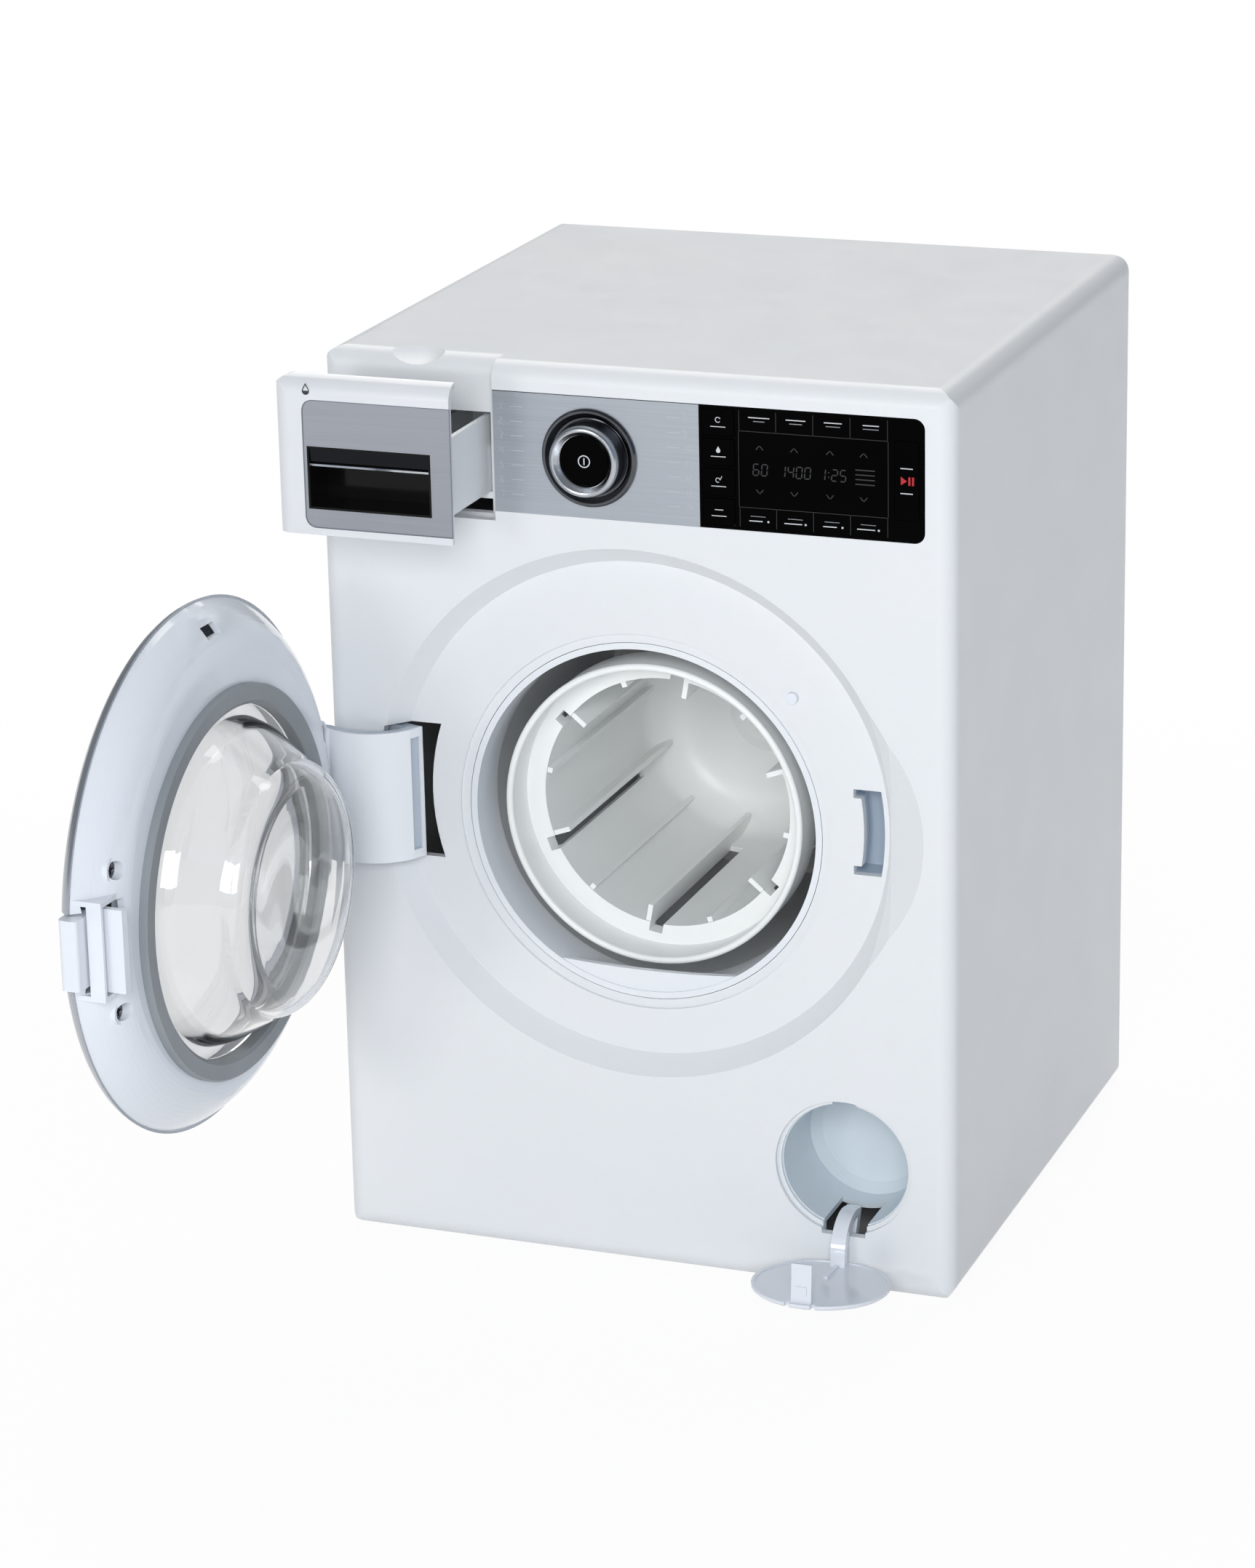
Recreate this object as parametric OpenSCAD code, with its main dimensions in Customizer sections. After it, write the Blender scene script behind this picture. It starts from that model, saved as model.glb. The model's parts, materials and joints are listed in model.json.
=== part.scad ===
// Toy washing machine. Millimetres, +Z up, front face towards -Y.
// The origin is the middle of the cabinet's footprint, on the floor.

/* [Cabinet] */
// Width of the cabinet
cab_w = 183; // [181:1:190]
// Depth of the cabinet
cab_d = 178; // [174:1:190]
// Height of the cabinet
cab_h = 260; // [259:1:270]
// Thickness of the moulded walls
wall = 2.5; // [2.3:0.1:2.8]
// Radius of the four long corners seen from the front
corner_r = 6; // [5:0.5:8]
// Radius round the front edges
edge_r = 5; // [4:0.5:6]
// Radius round the rear edges
rear_r = 2; // [1.5:0.1:2.2]

/* [Loading port] */
// Height of the centre of the door and its dish
door_z = 134; // [133:0.5:136]
// How far the port sits below the centre of the dish
port_drop = 3.8; // [3:0.2:4.4]
// Radius of the dish at the front face
dish_r = 76.5; // [76:0.5:77]
// Depth of the dish
dish_deep = 6; // [5.6:0.1:6.2]
// Width of the sloping rim of the dish
dish_slope = 5; // [4:0.5:5.5]
// Reach of the finger bulge at the free side of the dish
bulge_reach = 83; // [82:0.5:84]
// Radius of the finger bulge
bulge_r = 43.5; // [42:0.5:45]
// Radius of the port through the front
port_r = 52; // [51.5:0.5:52.5]
// Inner radius of the port collar
collar_r = 50; // [49.5:0.5:50]
// Length of the port collar behind the dish floor
collar_len = 16; // [14:0.5:18]
// Height of the weir across the bottom of the collar
weir_h = 6; // [5:0.2:6.2]
// Radius of the shallow seat for the door gasket
seat_r = 54.6; // [54.3:0.1:55.2]

/* [Drum] */
// Outer radius of the drum's mouth
drum_lip_r = 43.7; // [42:0.5:46]
// Depth of the wide mouth of the drum
drum_mouth = 11; // [9:0.5:13]
// Inner radius of the drum
drum_r = 36.5; // [34:0.5:38]
// Length of the drum
drum_len = 102; // [96:1:108]
// Thickness of the drum's wall
drum_wall = 1.6; // [1.4:0.1:2]
// How far the drum's mouth lies behind the front face
drum_back = 14; // [13:0.5:16]
// Number of tall paddles
paddles = 6; // [3:1:8]
// Height of a tall paddle
paddle_h = 5; // [3:0.5:7]
// Height of a low rib between two paddles
rib_h = 1.6; // [1:0.2:2.4]
// Width of the slot beside each paddle
slot_w = 4; // [3:0.5:5]
// Radius of the drum's shaft
shaft_r = 3; // [2.5:0.1:3.5]

/* [Drive] */
// Tooth size (pitch diameter over number of teeth)
gear_module = 1; // [0.9:0.05:1.05]
// Teeth on the drum gear
gear_teeth = 60; // [54:1:62]
// Teeth on the motor pinion
pinion_teeth = 12; // [11:1:14]
// Thickness of the gears
gear_w = 5; // [4:0.5:6]
// Radius of the motor's can
motor_r = 12; // [10:0.5:13]
// Length of the motor's can
motor_len = 19; // [17:1:22]
// Radius of the motor's shaft
motor_shaft_r = 1; // [0.8:0.1:1.2]

/* [Tub] */
// Inner radius of the tub
tub_r = 53; // [52.5:0.5:54]
// Thickness of the tub's wall
tub_wall = 2; // [1.6:0.1:2.4]

/* [Door] */
// Radius of the door
door_r = 73; // [72:0.25:73.5]
// How far the door's rim stands in front of the cabinet
door_proud = 5.6; // [5:0.2:6.5]
// How far the door stands open
door_open = 92; // [60:1:92]
// Distance of the hinge pin from the side of the cabinet
hinge_in = 10.5; // [10:0.25:11]
// Distance of the hinge pin behind the front face
hinge_back = 9; // [8.5:0.25:9.5]
// Height of the hinge arm
arm_h = 38; // [32:1:40]
// Outer radius of the hinge arm's curve round the pin
arm_r = 16.8; // [16.4:0.1:17.2]
// Thickness of the hinge arm
arm_t = 3; // [2.4:0.1:3.2]
// Radius of the hinge pin
pin_r = 1.5; // [1.2:0.1:1.8]
// Outer radius of the door gasket
gasket_r = 54; // [53.6:0.1:54]
// Radius of the hole through the gasket
gasket_hole_r = 48.4; // [47.5:0.1:49]
// Radius of the clear bowl at the gasket
bowl_r = 43.5; // [42:0.5:45]
// Radius of the clear bowl near its end
bowl_end_r = 34; // [30:0.5:35]
// Depth of the clear bowl from the gasket
bowl_deep = 19; // [16:0.5:20]
// Thickness of the clear bowl
bowl_wall = 1.8; // [1.4:0.1:2.2]

/* [Dispenser drawer] */
// Width of the drawer's bay
bay_w = 52.5; // [51:0.5:54]
// Height of the drawer's bay
bay_h = 44.3; // [43:0.1:46]
// Depth of the bay's recess in the front
bay_deep = 5; // [4.6:0.1:5]
// How far the drawer is pulled out
drawer_out = 29; // [0:1:40]
// Length of the drawer's tray
tray_len = 75; // [60:1:80]
// Depth of the tray's box
tray_h = 21.5; // [19:0.5:22]
// Thickness of the tray's walls
tray_wall = 1.4; // [1.2:0.1:1.8]
// Thickness of the drawer's cap
cap_t = 1.6; // [1.4:0.1:1.8]
// Depth of the finger pocket in the drawer
pocket_deep = 11.7; // [9:0.1:12.5]

/* [Control panel] */
// Height of the control panel
fascia_h = 34; // [32:0.5:34.5]
// Depth of the panel's recess
fascia_deep = 1.2; // [1:0.05:1.3]
// Width of the brushed plate at the left of the panel
plate_w = 59.3; // [57:0.5:61]
// Radius of the dial's bezel
bezel_r = 13.65; // [13:0.05:14.5]
// Radius of the dial's front
dial_r = 9.85; // [9.4:0.05:10.4]
// How far the dial stands out
dial_proud = 5.7; // [4.5:0.1:7]
// Travel of the power button in the dial
power_travel = 1.2; // [0.8:0.1:1.4]
// Travel of the option keys and the start button
key_travel = 0.7; // [0.5:0.1:0.7]
// Number of option keys in the column
keys = 4; // [3:1:4]

/* [Service flap] */
// Distance of the flap's centre from the side of the cabinet
flap_in = 32; // [31:0.5:36]
// Height of the flap's centre
flap_z = 37; // [36:0.5:39]
// Radius of the flap
flap_r = 19.3; // [18.8:0.1:19.4]
// Radius of the flap's seat in the front
flap_seat_r = 19.8; // [19.7:0.1:20.4]
// Radius of the filter cup
cup_r = 18.2; // [17.5:0.1:18.3]
// Depth of the filter cup behind the front face
cup_deep = 29; // [22:0.5:32]
// How far the flap hangs open
flap_open = 85.2; // [60:0.2:85.2]

/* [Battery box] */
// Number of cells side by side
cells = 4; // [2:1:4]
// Radius of a cell
cell_r = 7.15; // [6.9:0.05:7.25]
// Length of a cell
cell_len = 50; // [48:0.5:50.5]

/* [Fits] */
// Radial clearance of a turning fit
run_gap = 0.05; // [0.03:0.01:0.08]
// Gap round parts that slide or lift out
slide_gap = 0.3; // [0.2:0.05:0.4]

/* [Hidden] */
$fn = 96;

half_w = cab_w / 2;
front_y = -cab_d / 2;
rear_y = cab_d / 2;
inner_front = front_y + wall;
port_z = door_z - port_drop;
dish_floor = front_y + dish_deep;
dish_back = dish_floor + wall;
seat_deep = 1;
over = 1;

// Port collar, tub and drum along Y
flange_t = 2;
collar_t = 1.8;
tub_front = dish_back + flange_t;
drum_front = front_y + drum_back;
drum_rear = drum_front + drum_len;
drum_shoulder = drum_front + drum_mouth;
drum_seam = drum_shoulder + drum_wall;
sleeve_r = drum_r + drum_wall + 0.05;
first_paddle = 20;
drum_corner = 14;
hub_len = 3;
tub_floor = drum_rear + hub_len + 2;
tub_rear = tub_floor + 2.5;
gear_y = tub_rear + 5.5;
bracket_y = gear_y + gear_w + 4;
bracket_t = 2.5;
ear_r = tub_r + tub_wall + 9;
boss_r = 3.6;
boss_top = dish_back + 6.5;
screw_r = 1.25;

// Gears
gear_r = gear_module * gear_teeth / 2;
pinion_r = gear_module * pinion_teeth / 2;
motor_z = port_z - gear_r - pinion_r;

// Door, in its closed position
hinge_x = -half_w + hinge_in;
hinge_y = front_y + hinge_back;
rim_y = front_y - door_proud;
plateau_y = dish_floor - 1.6;
gasket_face = dish_floor + seat_deep - slide_gap;
arm_z0 = door_z - arm_h / 2;
hinge_room = 1;
keeper_x = tub_r + tub_wall + 4.6;
latch_x = keeper_x + 2.7;
latch_y = rim_y + 2.1;
latch_pin_r = 0.9;
latch_h = 19.2;
hook_h = 22.8;
pocket_h = 24.5;
hook_y = dish_floor + 1.6;
screw_x = door_r - 12.2;
screw_z = 19.4;
glass_r = door_r - 15.5;
ring_hole_r = door_r - 18.7;
tube_r = gasket_hole_r + 2.1;
switch_reach = tub_r + 7;
switch_angle = 42.6;
switch_x = switch_reach * cos(switch_angle);
switch_z = port_z + switch_reach * sin(switch_angle);
switch_r = 1.5;
switch_proud = 1.5;

// Dispenser bay and drawer, in its closed position
bay_x = -half_w + bay_w;
bay_z = cab_h - bay_h;
bay_floor = front_y + bay_deep;
bay_back = bay_floor + wall;
cap_x0 = -half_w + 1.2;
cap_x1 = bay_x - 0.6;
cap_z0 = bay_z + 0.5;
cap_back = bay_floor - slide_gap;
tray_x0 = cap_x0 + 3.8;
tray_x1 = cap_x1 - 3.4;
tray_z0 = cap_z0 + 5.8;
tray_y0 = front_y + cap_t;
tray_y1 = tray_y0 + tray_len;
tray_z1 = tray_z0 + tray_h;
pocket_x0 = tray_x0 + 5.7;
pocket_x1 = tray_x1 - 3;
pocket_t = 0.6;
pocket_z0 = tray_z0 + tray_wall + pocket_t;
pocket_z1 = pocket_z0 + 16.2;
bar_h = 4.9;

// Control panel
fascia_x0 = bay_x;
fascia_x1 = half_w - 8;
fascia_z0 = cab_h - 7.6 - fascia_h;
fascia_z1 = cab_h - 7.6;
fascia_floor = front_y + fascia_deep;
fascia_face = front_y + 0.2;
plate_x1 = fascia_x0 + plate_w;
dial_x = fascia_x0 + 27.9;
dial_z = fascia_z0 + fascia_h / 2 - 0.1;
dial_face = front_y - dial_proud;
dial_skirt = fascia_face - 0.2;
dial_floor = dial_skirt - 1.2;
screen_x0 = plate_x1 + 11.4;
screen_x1 = fascia_x1 - 10.4;
screen_z0 = fascia_z0 + 6.6;
screen_z1 = fascia_z1 - 6.8;
key_x0 = plate_x1 + 1;
key_w = 9;
key_pitch = (fascia_h - 1.2) / keys;
key_h = key_pitch - 0.9;
start_x0 = fascia_x1 - 8.4;
start_w = 6.6;
start_z0 = fascia_z0 + 6.2;
start_h = fascia_h - 12.6;
board_y = front_y + 10;
board_t = 1.6;

// Service flap, in its closed position
flap_x = half_w - flap_in;
flap_y = front_y + 0.1;
flap_t = 1.3;
seat_floor = front_y + 1.5;
flap_pin_y = front_y + 4.8;
flap_pin_z = flap_z - 24.7;
flap_pin_r = 1;
neck_r = 9;
neck_t = 2.6;
neck_w = 4.2;
tab_w = 5.8;
hinge_gap_w = 12.8;
cup_flange_r = cup_r + 4.8;

// Battery box
cover_t = 2;
cover_in = rear_y - 3.5;
box_w = cells * (2 * cell_r + 1) + 1.6;
box_h = cell_len + 7;
box_z = 12;
box_deep = 2 * cell_r + 2;
box_t = 1.6;
speaker_r = 21;
speaker_z = cab_h - 70;

// ---------- helpers ----------

// Box between two corners
module span(lo, hi) translate(lo) cube(hi - lo);

// Cylinder along Y from y0 to y1
module ycyl(x, z, r, y0, y1) translate([x, y0, z]) rotate([-90, 0, 0]) cylinder(r = r, h = y1 - y0);

// Cone along Y with radius r0 at y0 and r1 at y1
module ycone(x, z, r0, r1, y0, y1)
    translate([x, y0, z]) rotate([-90, 0, 0]) cylinder(r1 = r0, r2 = r1, h = y1 - y0);

// Revolved profile about a Y axis: profile points are [radius, y]
module yturn(x, z) translate([x, 0, z]) rotate([-90, 0, 0]) rotate_extrude() children();

// Cylinder along X from x0 to x1
module xcyl(x0, x1, y, z, r) translate([x0, y, z]) rotate([0, 90, 0]) cylinder(r = r, h = x1 - x0);

// Flat outline in the X-Z plane, extruded from y0 to y1
module yplate(y0, y1) translate([0, y1, 0]) rotate([90, 0, 0]) linear_extrude(y1 - y0) children();

// Outline in the X-Y plane, extruded from z0 to z1
module zplate(z0, z1) translate([0, 0, z0]) linear_extrude(z1 - z0) children();

// Outline with a radius at each corner: [low left, low right, high right, high left]
module soft_rect(lo, hi, r) {
    polygon([[lo.x + r[0], lo.y], [hi.x - r[1], lo.y], [hi.x, lo.y + r[1]], [hi.x, hi.y - r[2]],
        [hi.x - r[2], hi.y], [lo.x + r[3], hi.y], [lo.x, hi.y - r[3]], [lo.x, lo.y + r[0]]]);
    if (r[0] > 0) translate([lo.x + r[0], lo.y + r[0]]) circle(r[0]);
    if (r[1] > 0) translate([hi.x - r[1], lo.y + r[1]]) circle(r[1]);
    if (r[2] > 0) translate([hi.x - r[2], hi.y - r[2]]) circle(r[2]);
    if (r[3] > 0) translate([lo.x + r[3], hi.y - r[3]]) circle(r[3]);
}

// Cabinet's outer block, inset by t, with its front at y
module rounded_block(t, y) {
    c = corner_r - t;
    e = edge_r - t;
    intersection() {
        yplate(y, rear_y) soft_rect([-half_w + t, t], [half_w - t, cab_h - t], [c, c, c, c]);
        zplate(0, cab_h) soft_rect([-half_w + t, y], [half_w - t, rear_y], [e, e, rear_r, rear_r]);
        translate([-half_w, 0, 0]) rotate([90, 0, 90]) linear_extrude(cab_w)
            soft_rect([y, t], [rear_y, cab_h - t], [e, rear_r, rear_r, e]);
    }
}

// Screw along Y: the head lies from y towards -Y or +Y by dir, the shank goes the other way
module yscrew(x, z, y, dir, len, head_r, head_h) {
    y_head = y + dir * head_h;
    y_tip = y - dir * len;
    difference() {
        ycyl(x, z, head_r, min(y, y_head), max(y, y_head));
        for (a = [0, 90]) translate([x, y_head, z]) rotate([0, a, 0])
            cube([head_r * 1.2, head_h, head_r * 0.3], center = true);
    }
    ycyl(x, z, screw_r, min(y, y_tip), max(y, y_tip));
}

// Places of the four screws that hold the tub and collar
module at_tub_screws() for (a = [30, 150, 210, 330]) translate([ear_r * cos(a), 0, port_z + ear_r * sin(a)])
    children();

// Places of the two screws of the motor's bracket
module at_motor_screws() for (x = [-16, 16]) translate([x, 0, motor_z - 10]) children();

// Places of the six screws of the rear cover
module at_cover_screws() for (s = [-1, 1], z = [20, cab_h / 2, cab_h - 20])
    translate([s * (half_w - wall - 3.5), 0, z]) children();

// Places of the four screws of the door
module at_door_screws() for (x = [-screw_x, screw_x], s = [-1, 1])
    translate([x, 0, door_z + s * screw_z]) children();

// Turns the closed door to where it stands
module on_door() translate([hinge_x, hinge_y, 0]) rotate([0, 0, -door_open])
    translate([-hinge_x, -hinge_y, 0]) children();

// Pulls the closed drawer to where it stands
module on_drawer() translate([0, -drawer_out, 0]) children();

// Swings the closed flap to where it hangs
module on_flap() translate([0, flap_pin_y, flap_pin_z]) rotate([flap_open, 0, 0])
    translate([0, -flap_pin_y, -flap_pin_z]) children();

// ---------- cabinet ----------

// Ring sector about the door's centre, between two radii, within h of its height
module dish_sector(r0, r1, h, side) intersection() {
    difference() {
        translate([0, door_z]) circle(r1);
        translate([0, door_z]) circle(r0);
    }
    translate([side > 0 ? r0 / 2 : -r1 - over, door_z - h / 2]) square([r1 - r0 / 2 + over, h]);
}

// Dish round the port, with the wider finger bulge at its free side
module dish() {
    bulge_x = bulge_reach - bulge_r;
    ycone(0, door_z, dish_r + dish_slope * over / dish_deep, dish_r - dish_slope, front_y - over, dish_floor);
    for (k = [0.5, 1]) {
        r_face = dish_r + (bulge_r - dish_r) * k;
        r_floor = dish_r - dish_slope - (bulge_x + 0.9) * k;
        grow = (r_face - r_floor) * over / dish_deep;
        ycone(bulge_x * k, door_z, r_face + grow, r_floor, front_y - over, dish_floor);
    }
}

// Slot for the hinge arm, and the pocket behind it for the bracket
module hinge_slot() {
    slot_h = arm_h + 1.5;
    reach = -hinge_x - arm_r - 1.3;
    yplate(front_y - over, dish_back + 6) dish_sector(reach, -hinge_x - 4, slot_h, -1);
    half = slot_h / 2;
    span([hinge_x - 7, inner_front, door_z - half - 7], [hinge_x + 4.8, dish_back + 6, door_z + half + 7]);
    span([hinge_x, hinge_y - 5, door_z - half], [hinge_x + 8, dish_back + 6, door_z + half]);
}

// Outline of the latch pocket: a bowed slot with a short horn at each end
module latch_outline() {
    dish_sector(keeper_x + 4.6, keeper_x + 10.6, pocket_h, 1);
    for (s = [-1, 1]) translate([keeper_x + 1.6, door_z + s * (pocket_h / 2 - 1.25) - 1.25]) square([5, 2.5]);
}

// Bay of the drawer: a recess that is open at the side and the top, and the way in
module drawer_bay() {
    difference() {
        span([-half_w - over, front_y - over, bay_z], [bay_x, front_y + 20, cab_h + over]);
        rounded_block(0, bay_floor);
    }
    span([cap_x0 + 2.9, front_y, bay_z + 0.6], [cap_x1 - 2, bay_back + over, tray_z1 + 1.2]);
    scoop_r = 13.5;
    translate([(cap_x0 + cap_x1) / 2 + 1.4, bay_floor - over, cab_h - 3.5 + scoop_r]) sphere(scoop_r);
}

// Front wall openings behind the control panel
module panel_holes() {
    yplate(front_y - over, fascia_floor)
        soft_rect([fascia_x0 - over, fascia_z0], [fascia_x1, fascia_z1], [0, 3, 3, 0]);
    ycyl(dial_x, dial_z, 8 + run_gap, front_y, inner_front + over);
    span([plate_x1 + 0.6, front_y, fascia_z0 + 1], [fascia_x1 - 1.2, inner_front + over, fascia_z1 - 1]);
}

// Hole, seat and notches of the service flap
module service_hole() {
    ycyl(flap_x, flap_z, flap_seat_r, front_y - over, seat_floor);
    ycyl(flap_x, flap_z, cup_r + 0.4, front_y - over, inner_front + over);
    behind = inner_front + over;
    span([flap_x - tab_w / 2 - 0.6, front_y - over, flap_z],
        [flap_x + tab_w / 2 + 0.6, behind, flap_z + flap_seat_r - 0.4]);
    span([flap_x - hinge_gap_w / 2, front_y - over, flap_z - flap_seat_r - 0.5],
        [flap_x + hinge_gap_w / 2, behind, flap_z]);
}

module cabinet() color([0.91, 0.93, 0.94]) difference() {
    union() {
        difference() {
            rounded_block(0, front_y);
            yplate(inner_front, rear_y + over) soft_rect([-half_w + wall, wall],
                [half_w - wall, cab_h - wall], [for (i = [0:3]) corner_r - wall]);
        }
        ycyl(0, door_z, dish_r + wall, front_y + over, dish_back);
        ycyl(bulge_reach - bulge_r, door_z, bulge_r + wall, front_y + over, dish_back);
        span([-half_w + wall / 2, front_y + edge_r, bay_z - wall],
            [bay_x + wall, bay_back, cab_h - wall / 2]);
        span([cap_x0 + 12, bay_floor, cab_h - 9], [cap_x1 - 10, bay_floor + 9, cab_h - wall / 2]);
        at_tub_screws() ycyl(0, 0, boss_r, dish_back - over, boss_top);
        at_cover_screws() ycyl(0, 0, 4, cover_in - 28, cover_in);
        for (x = [fascia_x0 + 9, fascia_x1 - 3.5], z = [fascia_z0 + 3.2, fascia_z1 - 3.2])
            ycyl(x, z, 2.4, inner_front - 0.5, board_y);
        span([tray_x0 + 8, bay_floor - 0.8, tray_z1 + 1.3],
            [tray_x1 - 7, bay_floor + over, tray_z1 + 3.8]);
    }
    dish();
    ycyl(0, port_z, port_r, front_y, dish_back + over);
    ycyl(0, port_z, seat_r, front_y, dish_floor + seat_deep);
    hinge_slot();
    yplate(front_y, dish_back + over) latch_outline();
    ycyl(switch_x, switch_z, switch_r + run_gap, front_y, dish_back + over);
    drawer_bay();
    panel_holes();
    service_hole();
    at_tub_screws() ycyl(0, 0, screw_r + run_gap, dish_back + 1.2, boss_top + over);
    at_cover_screws() ycyl(0, 0, screw_r + run_gap, cover_in - 12, cover_in + over);
}

module rear_cover() color([0.9, 0.91, 0.92]) {
    lip = wall + slide_gap;
    difference() {
        union() {
            yplate(cover_in, cover_in + cover_t) soft_rect([-half_w + lip, lip], [half_w - lip, cab_h - lip],
                [for (i = [0:3]) corner_r - wall]);
            for (x = [-50, 50]) span([x - 0.8, cover_in - 2.5, 30], [x + 0.8, cover_in, cab_h - 30]);
        }
        at_cover_screws() ycyl(0, 0, screw_r + 0.3, cover_in - over, rear_y);
        span([-box_w / 2, cover_in - over, box_z], [box_w / 2, rear_y, box_z + box_h]);
        for (i = [-3:3], j = [-3:3]) if (i * i + j * j < 12)
            ycyl(i * 5, speaker_z + j * 5, 1.2, cover_in - over, rear_y);
    }
}

module cover_screws() color("silver") at_cover_screws() yscrew(0, 0, cover_in + cover_t, 1, 11, 3, 1.4);

// ---------- port, tub and drum ----------

module port_collar() color([0.82, 0.86, 0.9]) {
    y0 = dish_floor + seat_deep;
    y1 = dish_floor + collar_len;
    yturn(0, port_z) polygon([[collar_r, y0], [port_r - 0.2, y0], [port_r - 0.2, dish_back],
        [tub_r + tub_wall, dish_back], [tub_r + tub_wall, tub_front], [collar_r + collar_t, tub_front],
        [collar_r + collar_t, y1], [collar_r, y1]]);
    // Weir: the part of a disc below a shallow arc
    difference() {
        ycyl(0, port_z, collar_r + 0.5, y0 + 0.6, y0 + 2.4);
        ycyl(0, port_z - collar_r + weir_h + 300, 300, y0, y0 + 3);
    }
}

module tub() color([0.5, 0.53, 0.56]) difference() {
    union() {
        yturn(0, port_z) polygon([[tub_r, tub_front], [tub_r + tub_wall, tub_front],
            [tub_r + tub_wall, tub_rear], [6, tub_rear], [6, tub_floor], [tub_r, tub_floor]]);
        for (a = [30, 150, 210, 330]) translate([0, 0, port_z]) rotate([0, -a, 0]) {
            span([tub_r + tub_wall / 2, boss_top, -4], [ear_r, boss_top + 2.5, 4]);
            ycyl(ear_r, 0, 4, boss_top, boss_top + 2.5);
        }
        at_motor_screws() ycyl(0, 0, 3.2, tub_rear - over, bracket_y);
        for (a = [0:60:300]) translate([0, 0, port_z]) rotate([0, -a - 30, 0])
            span([12, tub_rear - over, -0.8], [gear_r - 6, tub_rear + 3, 0.8]);
    }
    at_tub_screws() ycyl(0, 0, screw_r + 0.3, boss_top - over, boss_top + 4);
    at_motor_screws() ycyl(0, 0, screw_r + run_gap, bracket_y - 9, bracket_y + over);
}

module tub_screws() color("silver") at_tub_screws() yscrew(0, 0, boss_top + 2.5, 1, 7.5, 2.6, 1.6);

module shaft_bush() color([0.75, 0.6, 0.35]) yturn(0, port_z) polygon([
    [shaft_r + run_gap, tub_floor - 1.5], [9, tub_floor - 1.5], [9, tub_floor], [6, tub_floor],
    [6, tub_rear + 3.6], [shaft_r + run_gap, tub_rear + 3.6]]);

// Half section of the drum's outside (t = 0) or inside (t = wall), filled to the axis
module drum_section(t) {
    r = drum_r + drum_wall - t;
    c = drum_corner - t;
    y_end = drum_rear - t;
    polygon([[0, drum_seam - (t > 0 ? over : 0)], [r, drum_seam - (t > 0 ? over : 0)],
        [r, y_end - c], [r - c, y_end], [0, y_end]]);
    intersection() {
        translate([r - c, y_end - c]) circle(c);
        translate([r - c, y_end - c]) square(c + over);
    }
}

// Ribs along the drum, count of them, from angle a0, of a height and a thickness
module drum_ribs(a0, h, t) for (k = [0:paddles - 1]) rotate([0, -a0 - k * 360 / paddles, 0]) {
    span([drum_r - h, drum_seam + 0.6, -t / 2], [drum_r + drum_wall / 2, drum_rear - 6, t / 2]);
    span([drum_r - h, drum_shoulder + 0.3, -t / 2], [drum_r - 0.1, drum_seam + over, t / 2]);
}

// Slots beside the tall paddles
module drum_slots() for (k = [0:paddles - 1]) translate([0, 0, port_z])
    rotate([0, -first_paddle - k * 360 / paddles, 0]) translate([0, 0, 0.7 + slot_w / 2])
        span([drum_r - 1, drum_shoulder - over, -slot_w / 2],
            [drum_r + drum_wall + 1, drum_rear - 22, slot_w / 2]);

// Wide mouth of the drum: a ring with a ledge and a sleeve over the drum
module drum_rim() color([0.93, 0.93, 0.91]) difference() {
    yturn(0, port_z) {
        polygon([[drum_lip_r - drum_wall, drum_front], [drum_lip_r, drum_front], [drum_lip_r, drum_seam],
            [sleeve_r + 1.4, drum_seam], [sleeve_r + 1.4, drum_seam + 3.5], [sleeve_r, drum_seam + 3.5],
            [sleeve_r, drum_seam], [drum_r, drum_seam], [drum_r, drum_shoulder],
            [drum_lip_r - drum_wall, drum_shoulder]]);
        translate([drum_lip_r - drum_wall / 2, drum_front]) circle(drum_wall / 2 + 0.2);
    }
    drum_slots();
}

module drum() color([0.93, 0.93, 0.91]) difference() {
    union() {
        yturn(0, port_z) difference() {
            drum_section(0);
            drum_section(drum_wall);
        }
        translate([0, 0, port_z]) {
            drum_ribs(first_paddle, paddle_h, 1.4);
            drum_ribs(first_paddle + 180 / paddles, rib_h, 1.5);
        }
        ycyl(0, port_z, 8, drum_rear - over, drum_rear + hub_len);
        ycone(0, port_z, 9, 14, drum_rear - drum_wall - 2, drum_rear - drum_wall / 2);
    }
    drum_slots();
    ycyl(0, port_z, shaft_r + 0.02, drum_rear - drum_wall / 2, drum_rear + hub_len + over);
}

module drum_shaft() color("silver")
    ycyl(0, port_z, shaft_r, drum_rear - drum_wall / 2, gear_y + gear_w + 1.5);

// Half of a tooth, as [radius, half width] in modules from the pitch circle, tip last
tooth = [[-1.4, 1.1], [-0.2, 0.74], [0.6, 0.42], [0.85, 0.2]];

// Spur gear about Y with teeth of module m: each tooth is a trapezoid with a rounded tip
module gear(r, teeth, m, y0, y1) {
    right = [for (p = tooth) [r + p[0] * m, -p[1] * m]];
    left = [for (i = [len(tooth) - 1:-1:0]) [r + tooth[i][0] * m, tooth[i][1] * m]];
    yplate(y0, y1) {
        circle(r - 1.2 * m);
        for (k = [0:teeth - 1]) rotate(k * 360 / teeth) polygon(concat(right, left));
    }
}

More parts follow.
